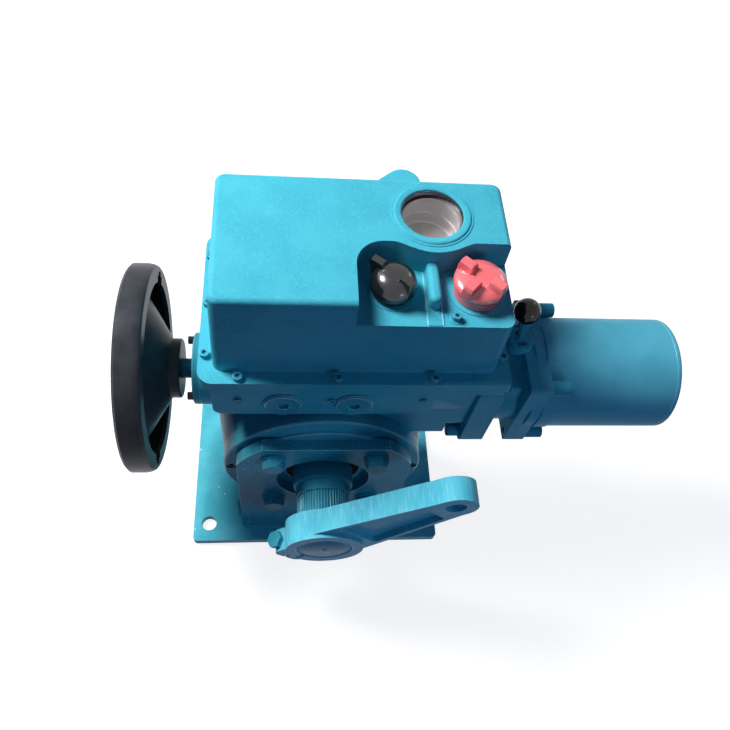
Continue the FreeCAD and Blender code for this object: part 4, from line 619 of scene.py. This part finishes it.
class ACTUATOR_OT_gear_case(bpy.types.Operator):
    """Gear case casting with its covers, cable entry plate, plugs and screws"""
    bl_idname = "actuator.gear_case"
    bl_label = "Gear case"
    bl_options = {"REGISTER", "UNDO"}

    def execute(self, context):
        edges = context.scene.actuator_edges
        cast, fitting = finish("cast_enamel"), finish("fitting_enamel")
        for name in ("gear_case", "side_cover", "rear_cover", "cable_entry_plate"):
            dressed(name, "teal_paint", cast, edges.casting)
        dressed("worm_end_cap", "teal_paint", fitting, edges.fitting)
        dressed("blanking_plugs", "teal_paint", fitting, edges.fitting)
        for name in ("side_cover_screws", "rear_cover_screws", "worm_end_cap_screws"):
            dressed(name, "black_screws", finish("blackened_steel"), SHARP_EDGE)
        dressed("entry_screws", "teal_paint", fitting, SHARP_EDGE)
        return {"FINISHED"}


# Recess of the knob shelf in mm
SHELF_DEEP = 32.0
RECESS_X, RECESS_END, RECESS_Y = 16.0, 176.0, 12.6      # left wall, right end and back wall
CORNER_FROM, CORNER_TO = 20.0, 28.0         # radius of the corner in the solid and here
BOSS_X, BOSS_Y, BOSS_R = 93.8, 48.1, 48.0   # centre and radius of the window boss
BOSS_REST = 0.1                             # what is left of the boss's height under its ring
BLEND, CUT_STEP, CUT_END = 11.0, 2.0, 172.0     # reach of the blend; the wall's cuts that follow it
NEAR = 0.1                                  # places closer than this lie on one wall or level
# Thin ridges on both sides of the shelf's rib, in mm
RIB_X, RIDGE_OFF, RIDGE_RADIUS, RIDGE_LIFT = 92.5, 7.3, 1.0, 0.3
RIDGE_BACK, RIDGE_FRONT, RIDGE_SEED = 4.0, -64.0, 60
# Ring and bezel of the window as closed outlines of (radius, height over the cover's top) in mm
RING_RISE = 2.6 * MM
RING_OUTLINE = ((41.6, -0.4), (41.6, 0.5), (41.2, 0.9), (40.4, 1.0), (39.9, 0.7), (39.5, 0.8),
                (39.0, 1.6), (38.2, 2.3), (37.2, 2.55), (35.6, 2.4), (33.6, 2.1), (32.3, 2.0),
                (31.6, 1.6), (31.3, 0.9), (31.3, -0.4))
BEZEL_OUTLINE = ((31.28, 0.5), (30.9, 0.5), (30.7, 0.2), (30.7, -4.7), (31.28, -4.7))


def boss_line(x):
    """Y over X in mm of the front half of the window boss."""
    return BOSS_Y - np.sqrt(np.maximum(BOSS_R ** 2 - (x - BOSS_X) ** 2, 0))


def unblended(x):
    """Y over X in mm of the back wall as the solid has it: the flat wall or the boss before it."""
    return np.minimum(boss_line(x), RECESS_Y)


def recess_line(x):
    """Y over X in mm of the back wall with the blend.

    Where flat wall and boss differ by d less than the blend k, it comes forward by (k - d)^2 / 4k.
    """
    shared = np.maximum(BLEND - np.abs(boss_line(x) - RECESS_Y), 0)
    return unblended(x) - shared ** 2 / (4 * BLEND)


def on_recess(face, foot, top):
    """Whether a face stands upright between the shelf and the cover's top on the recess's walls."""
    heights = [v.co.z for v in face.verts]
    x, y = (face.calc_center_median()[k] / MM for k in (0, 1))
    return (abs(face.normal.z) < 0.01 and min(heights) > foot - NEAR * MM
            and abs(max(heights) - top) < NEAR * MM
            and RECESS_X - NEAR < x < RECESS_END and RECESS_Y - CORNER_FROM < y < RECESS_Y + NEAR)


def cover_forms(work):
    """Flattens the window boss under its ring, widens the recess's corner and blends its back wall."""
    top = max(v.co.z for v in work.verts) - RING_RISE
    for v in work.verts:
        if v.co.z > top + NEAR / 2 * MM:
            v.co.z = top + BOSS_REST * MM
    foot = top - SHELF_DEEP * MM
    old = (RECESS_X + CORNER_FROM, RECESS_Y - CORNER_FROM)
    for v in {v for f in work.faces if on_recess(f, foot, top) for v in f.verts}:
        x, y = v.co.x / MM, v.co.y / MM
        if x < old[0] + NEAR / 10 and y > old[1] - NEAR / 10:
            turn = math.atan2(y - old[1], x - old[0])
            v.co.x = (RECESS_X + CORNER_TO * (1 + math.cos(turn))) * MM
            v.co.y = (RECESS_Y - CORNER_TO * (1 - math.sin(turn))) * MM
    for x in np.arange(RECESS_X + CORNER_TO + CUT_STEP, CUT_END, CUT_STEP):
        walls = [f for f in work.faces if on_recess(f, foot, top)]
        parts = walls + list({e for f in walls for e in f.edges})
        parts += list({v for f in walls for v in f.verts})
        bmesh.ops.bisect_plane(work, geom=parts, dist=0.001 * MM, plane_co=(x * MM, 0, 0),
                               plane_no=(1, 0, 0))
    for v in work.verts:
        x, y = v.co.x / MM, v.co.y / MM
        inside = foot < v.co.z + NEAR * MM and v.co.z < top + NEAR / 10 * MM
        if inside and x > RECESS_X + CORNER_TO - NEAR / 10 and abs(y - unblended(x)) < NEAR / 2:
            v.co.y = recess_line(x) * MM


class ACTUATOR_OT_cover(bpy.types.Operator):
    """Electrical cover with its gasket, rim screws and shelf screw"""
    bl_idname = "actuator.cover"
    bl_label = "Electrical cover"
    bl_options = {"REGISTER", "UNDO"}

    def execute(self, context):
        edges = context.scene.actuator_edges
        dressed("electrical_cover", "teal_paint", finish("cast_enamel"), edges.casting,
                reshape=cover_forms)
        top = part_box("electrical_cover")[1].z - RING_RISE
        for k, x in enumerate((RIB_X - RIDGE_OFF, RIB_X + RIDGE_OFF)):
            z = top - (SHELF_DEEP - RIDGE_LIFT) * MM
            start, end = ((x * MM, y * MM, z) for y in (RIDGE_BACK, RIDGE_FRONT))
            points = bead_points(start, end, (1, 0, 0), (0, 0, 1), RIDGE_RADIUS * MM,
                                 (-0.3, math.pi + 0.3), RIDGE_SEED, lumpy=0.0)
            # The ridges take the paler edge enamel, a painted highlight along them
            surface("shelf_ridge_%d" % (k + 1), points, body_of("electrical_cover"),
                    finish("edge_highlight_enamel"), 60)
        painted("cover_gasket", finish("nitrile_rubber"))
        for name in ("cover_screws", "shelf_screw"):
            dressed(name, "teal_paint", finish("fitting_enamel"), SCREW_EDGE)
        return {"FINISHED"}


class ACTUATOR_OT_window(bpy.types.Operator):
    """Window ring and bezel, glass, the turned well under it, the dial and its pointer"""
    bl_idname = "actuator.window"
    bl_label = "Window"
    bl_options = {"REGISTER", "UNDO"}

    def execute(self, context):
        low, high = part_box("window_glass")
        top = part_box("electrical_cover")[1].z - RING_RISE
        centre = ((low.x + high.x) / 2, (low.y + high.y) / 2, top)
        for name, outline, slot, key in (("window_ring", RING_OUTLINE, "teal_paint", "cast_enamel"),
                                         ("window_bezel", BEZEL_OUTLINE, "dull_aluminium", "bezel")):
            surface(name, lathe_points(outline, centre), body_of("electrical_cover"), finish(key),
                    40, ring=True)
        painted("window_glass", finish("glass"))
        painted("dial_well", finish("dull_aluminium"))
        painted("position_dial", finish("dial_face"))
        painted("position_pointer", finish("pointer_paint"))
        return {"FINISHED"}


# Each knob in mm: axis, radius, body, (skirt radius, skirt height, height of the widest ring and of the
# dome), and its tabs, each with its azimuth in degrees, inner and outer radius
KNOBS = (("black_knob", (53.0, -22.4), 23.0, "black_selector", (20.0, 4.0, 8.0, 27.0),
          ((142, 14.0, 28.0), (-49, 10.0, 23.2))),
         ("red_knob", (137.0, -22.4), 26.5, "red_selector", (24.0, 10.0, 15.0, 23.5),
          ((137, 11.0, 26.5), (-133, 11.0, 26.5), (-43, 11.0, 26.5))))


class ACTUATOR_OT_knobs(bpy.types.Operator):
    """The black and the red selector knob with their seal rings"""
    bl_idname = "actuator.knobs"
    bl_label = "Knobs"
    bl_options = {"REGISTER", "UNDO"}

    def execute(self, context):
        sizes = context.scene.actuator_knobs
        for name, (x, y), radius, body, profile, tabs in KNOBS:
            z0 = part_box(name)[1].z - sizes.height
            colour = name.split("_")[0]
            tab_half = getattr(sizes, colour + "_tab") / 2
            heights = [k * MM for k in profile] + [sizes.height]
            points = knob_points(radius * MM, (x * MM, y * MM, z0), heights, tabs, tab_half)
            piece = surface(name + "_skin", points, body, finish("knob_" + colour), 40)
            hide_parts(name)
        painted("knob_seal_rings", finish("nitrile_rubber"))
        return {"FINISHED"}


# Collar on the output shaft in front of its seal: (radius, distance in front of the side cover) in mm
COLLAR_OUTLINE = ((33.2, 1.0), (36.5, 1.0), (36.5, 23.0), (35.9, 24.2), (34.6, 25.0), (33.2, 25.2))


def mark_sides(work):
    """Marks the faces round the arm's outline, where the forging dies left their marks."""
    side = work.faces.layers.float.new("forged_side")
    for face in work.faces:
        face[side] = float(abs(face.normal.y) < 0.5)


class ACTUATOR_OT_crank(bpy.types.Operator):
    """Splined output shaft, crank arm and its clamp bolt"""
    bl_idname = "actuator.crank"
    bl_label = "Crank"
    bl_options = {"REGISTER", "UNDO"}

    def execute(self, context):
        edges = context.scene.actuator_edges
        # The arm's lighter enamel is painted light, and its pale ridges a painted highlight
        dressed("crank_arm", "teal_paint", finish("forged_painted_light_enamel"), FORGED_EDGE, 3, reshape=mark_sides)
        dressed("output_shaft", "teal_paint", finish("fitting_enamel"), SHARP_EDGE, 1)
        low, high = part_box("output_shaft")
        centre = ((low.x + high.x) / 2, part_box("side_cover")[0].y, (low.z + high.z) / 2)
        surface("shaft_collar", lathe_points(COLLAR_OUTLINE, centre, "y"), "output",
                finish("fitting_enamel"), 40, ring=True)
        for name in ("clamp_bolt", "clamp_nut"):
            dressed(name, "teal_paint", finish("fitting_enamel"), edges.fitting)
        return {"FINISHED"}


STUB_RADIUS = 11.25 * MM        # of the paint on the worm shaft between handwheel and end cap


class ACTUATOR_OT_handwheel(bpy.types.Operator):
    """Handwheel with its nut, and the worm shaft that carries it"""
    bl_idname = "actuator.handwheel"
    bl_label = "Handwheel"
    bl_options = {"REGISTER", "UNDO"}

    def execute(self, context):
        # Its shallow cones turn by less than half a degree from face to face: only flat ones are joined
        dressed("handwheel", "wheel_black", finish("wheel_black"), SMALL_EDGE, 3, 32, join=0.02)
        painted("handwheel_nut", finish("blackened_steel"))
        low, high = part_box("handwheel")
        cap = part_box("worm_end_cap")[0]
        axis_y, axis_z = (low.y + high.y) / 2, (low.z + high.z) / 2
        points = tube_points(high.x, cap.x, STUB_RADIUS, axis_y, axis_z)
        surface("stub_enamel", points, "worm", finish("fitting_enamel"))
        painted("worm_shaft", finish("turned_steel"))
        painted("worm_seal", finish("nitrile_rubber"))
        return {"FINISHED"}


class ACTUATOR_OT_neck(bpy.types.Operator):
    """Clutch neck, its bolts, and the declutch lever with its ball"""
    bl_idname = "actuator.neck"
    bl_label = "Clutch neck"
    bl_options = {"REGISTER", "UNDO"}

    def execute(self, context):
        edges = context.scene.actuator_edges
        dressed("clutch_housing", "teal_paint", finish("cast_enamel"), edges.casting)
        dressed("case_flange_bolts", "teal_paint", finish("fitting_enamel"), edges.fitting)
        dressed("declutch_lever", "teal_paint", finish("fitting_enamel"), SCREW_EDGE)
        dressed("lever_ball", "ball_black", finish("ball_black"), 0)
        painted("lever_pin", finish("turned_steel"))
        return {"FINISHED"}


class ACTUATOR_OT_motor(bpy.types.Operator):
    """Motor flange and tube, end cover and bolts"""
    bl_idname = "actuator.motor"
    bl_label = "Motor"
    bl_options = {"REGISTER", "UNDO"}

    def execute(self, context):
        edges = context.scene.actuator_edges
        # The tube's lighter enamel is painted light
        dressed("motor_housing", "teal_paint", finish("tube_painted_light_enamel"), edges.casting)
        dressed("motor_end_cover", "teal_paint", finish("tube_painted_light_enamel"))
        dressed("motor_bolts", "teal_paint", finish("fitting_enamel"), edges.fitting)
        return {"FINISHED"}


# Frame solids inside, by their finish
INNER = {
    "bronze": ("output_bushes", "worm_wheel"),
    "nitrile_rubber": ("shaft_seal",),
    "turned_steel": ("wheel_key", "clutch_sleeve", "plug_nuts"),
    "spring_steel": ("bearing_outer_rings", "bearing_inner_rings", "bearing_balls", "motor_bearings"),
    "switch_plastic": ("limit_switch_unit", "terminal_block"),
    "board": ("control_board",),
    "dull_aluminium": ("board_pillars",),
    "lamination": ("motor_stator", "motor_rotor"),
}


class ACTUATOR_OT_inside(bpy.types.Operator):
    """Finishes of the gears, bearings, electrics and motor parts inside"""
    bl_idname = "actuator.inside"
    bl_label = "Inner pieces"
    bl_options = {"REGISTER", "UNDO"}

    def execute(self, context):
        for key, names in INNER.items():
            for name in names:
                painted(name, finish(key))
        return {"FINISHED"}


# The floor and the surroundings look bright to the camera, in reflections and through the glass, and
# light the object less: strengths and colours of both
FLOOR_PALE, FLOOR_GLOW, FLOOR_DULL = ("#a6a6a6", "#b0b0b0"), 0.84, "#283052"
SKY_STRENGTH, SKY_TINT = 0.095, "#98b4ff"
# Each lamp's place and aim, the width of its square, its power in the panel and its colour
LAMPS = (("Key lamp", (-0.95, 0.47, 1.72), (0.0, 0.0, 0.3), 0.6, "key", "#ffffff"),
         ("Fill lamp", (1.0, -1.5, 0.6), (0.05, 0.0, 0.25), 0.4, "fill", "#bcd6ff"),
         ("Left edge lamp", (-1.1, 1.1, 1.2), (0.0, 0.0, 0.4), 0.3, "edge", "#ffffff"),
         ("Right edge lamp", (1.3, 1.0, 1.2), (0.05, 0.0, 0.4), 0.3, "edge", "#ffffff"))
# The camera fitted to the photograph: place, then azimuth, elevation and roll in degrees, lens in mm
CAMERA_PLACE = (-0.0538, -0.4426, 1.0166)
CAMERA_TURNS = (-12.78, 58.35, 11.53)
CAMERA_LENS, CAMERA_SENSOR = 35.85, 36


def seen_rays(tree):
    """1 for rays from the camera, from a reflection or through glass, else 0."""
    paths = node(tree, "LightPath").outputs
    seen = node(tree, "Math", {"operation": "MAXIMUM"}, _0=paths["Is Camera Ray"],
                _1=paths["Is Glossy Ray"]).outputs[0]
    return node(tree, "Math", {"operation": "MAXIMUM"}, _0=seen,
                _1=paths["Is Transmission Ray"]).outputs[0]


def add_floor(scene, side):
    """Matt floor on the ground under the object; it is stage and no piece."""
    half = side / 2
    mesh = bpy.data.meshes.new("floor")
    mesh.from_pydata([(-half, -half, 0), (half, -half, 0), (half, half, 0), (-half, half, 0)], [],
                     [(0, 1, 2, 3)])
    material, tree, shader, place = new_material("Matt white floor")
    grain = noise(tree, place, 12, 3)
    tree.links.new(mixed(tree, grain, *FLOOR_PALE), shader.inputs["Base Color"])
    shader.inputs["Roughness"].default_value = 0.9
    seen = seen_rays(tree)
    dull = node(tree, "BsdfDiffuse", {"Color": linear(FLOOR_DULL)}).outputs[0]
    glow = node(tree, "Emission", {"Color": linear("#ffffff"), "Strength": FLOOR_GLOW}).outputs[0]
    pale = node(tree, "AddShader", _0=shader.outputs[0], _1=glow).outputs[0]
    blend = node(tree, "MixShader", _0=seen, _1=dull, _2=pale).outputs[0]
    tree.links.new(blend, output_of(tree))
    mesh.materials.append(material)
    floor = bpy.data.objects.new("floor", mesh)
    scene.collection.objects.link(floor)


def add_surroundings(scene):
    """World whose seen rays are white and whose light is weak and bluish."""
    world = bpy.data.worlds.new("Surroundings")
    world.use_nodes = True
    tree = world.node_tree
    seen = seen_rays(tree)
    back = tree.nodes["Background"]
    tree.links.new(span(tree, seen, SKY_STRENGTH, 1.0), back.inputs["Strength"])
    tree.links.new(mixed(tree, seen, SKY_TINT, "#ffffff"), back.inputs["Color"])
    scene.world = world


def add_lamp(scene, name, place, aim, width, power, code):
    """Square area lamp that looks at a point."""
    light = bpy.data.lights.new(name, "AREA")
    light.shape = "SQUARE"
    light.size = width
    light.energy = power
    light.color = linear(code)[:3]
    made = bpy.data.objects.new(name, light)
    made.location = place
    made.rotation_euler = (Vector(aim) - Vector(place)).to_track_quat("-Z", "Y").to_euler()
    scene.collection.objects.link(made)


def add_camera(scene):
    """Camera whose back axis is at azimuth and elevation, rolled about it."""
    camera = bpy.data.cameras.new("Camera")
    camera.lens = CAMERA_LENS
    camera.sensor_width = CAMERA_SENSOR
    az, el, roll = (math.radians(k) for k in CAMERA_TURNS)
    back_axis = Vector((math.sin(az) * math.cos(el), -math.cos(az) * math.cos(el), math.sin(el)))
    right = Vector((math.cos(az), math.sin(az), 0))
    up = back_axis.cross(right)
    side = right * math.cos(roll) + up * math.sin(roll)
    rise = up * math.cos(roll) - right * math.sin(roll)
    made = bpy.data.objects.new("Camera", camera)
    made.matrix_world = Matrix.Translation(CAMERA_PLACE) @ Matrix(
        (side, rise, back_axis)).transposed().to_4x4()
    scene.collection.objects.link(made)
    scene.camera = made


class ACTUATOR_OT_stage(bpy.types.Operator):
    """Pale floor, surroundings, soft lamps and the camera at the photograph's angle"""
    bl_idname = "actuator.stage"
    bl_label = "Stage"
    bl_options = {"REGISTER", "UNDO"}

    def execute(self, context):
        scene = context.scene
        sizes = scene.actuator_stage
        add_floor(scene, sizes.floor)
        add_surroundings(scene)
        for name, place, aim, width, power, code in LAMPS:
            add_lamp(scene, name, place, aim, width, getattr(sizes, power), code)
        add_camera(scene)
        scene.view_settings.view_transform = "Standard"
        return {"FINISHED"}


OPERATORS = (ACTUATOR_OT_foot, ACTUATOR_OT_gear_case, ACTUATOR_OT_cover, ACTUATOR_OT_window,
             ACTUATOR_OT_knobs, ACTUATOR_OT_crank, ACTUATOR_OT_handwheel, ACTUATOR_OT_neck,
             ACTUATOR_OT_motor, ACTUATOR_OT_inside, ACTUATOR_OT_stage)


class ACTUATOR_PT_panel(bpy.types.Panel):
    """Sidebar panel with the settings and one button for each group of pieces"""
    bl_label = "Quarter-turn actuator"
    bl_space_type = "VIEW_3D"
    bl_region_type = "UI"
    bl_category = "Actuator"

    def draw(self, context):
        column = self.layout.column()
        for group, names in ((context.scene.actuator_colours, ("enamel", "red_knob")),
                             (context.scene.actuator_edges, ("casting", "plate", "fitting")),
                             (context.scene.actuator_knobs, ("black_tab", "red_tab", "height")),
                             (context.scene.actuator_stage, ("key", "fill", "edge", "floor"))):
            for name in names:
                column.prop(group, name)
        for operator in OPERATORS:
            column.operator(operator.bl_idname)


GROUPS = {"actuator_colours": ActuatorColours, "actuator_edges": ActuatorEdges,
          "actuator_knobs": ActuatorKnobs, "actuator_stage": ActuatorStage}


def register():
    """Adds the settings, the operators and the panel to Blender."""
    for group in GROUPS.values():
        bpy.utils.register_class(group)
    for name, group in GROUPS.items():
        setattr(bpy.types.Scene, name, bpy.props.PointerProperty(type=group))
    for kind in OPERATORS + (ACTUATOR_PT_panel,):
        bpy.utils.register_class(kind)


def unregister():
    """Takes them out again, in the reverse order."""
    for kind in reversed(OPERATORS + (ACTUATOR_PT_panel,)):
        bpy.utils.unregister_class(kind)
    for name in GROUPS:
        delattr(bpy.types.Scene, name)
    for group in GROUPS.values():
        bpy.utils.unregister_class(group)


def main():
    """Builds the pieces and the stage."""
    register()
    for operator in OPERATORS:
        family, name = operator.bl_idname.split(".")
        getattr(getattr(bpy.ops, family), name)()


if __name__ == "__main__":
    main()
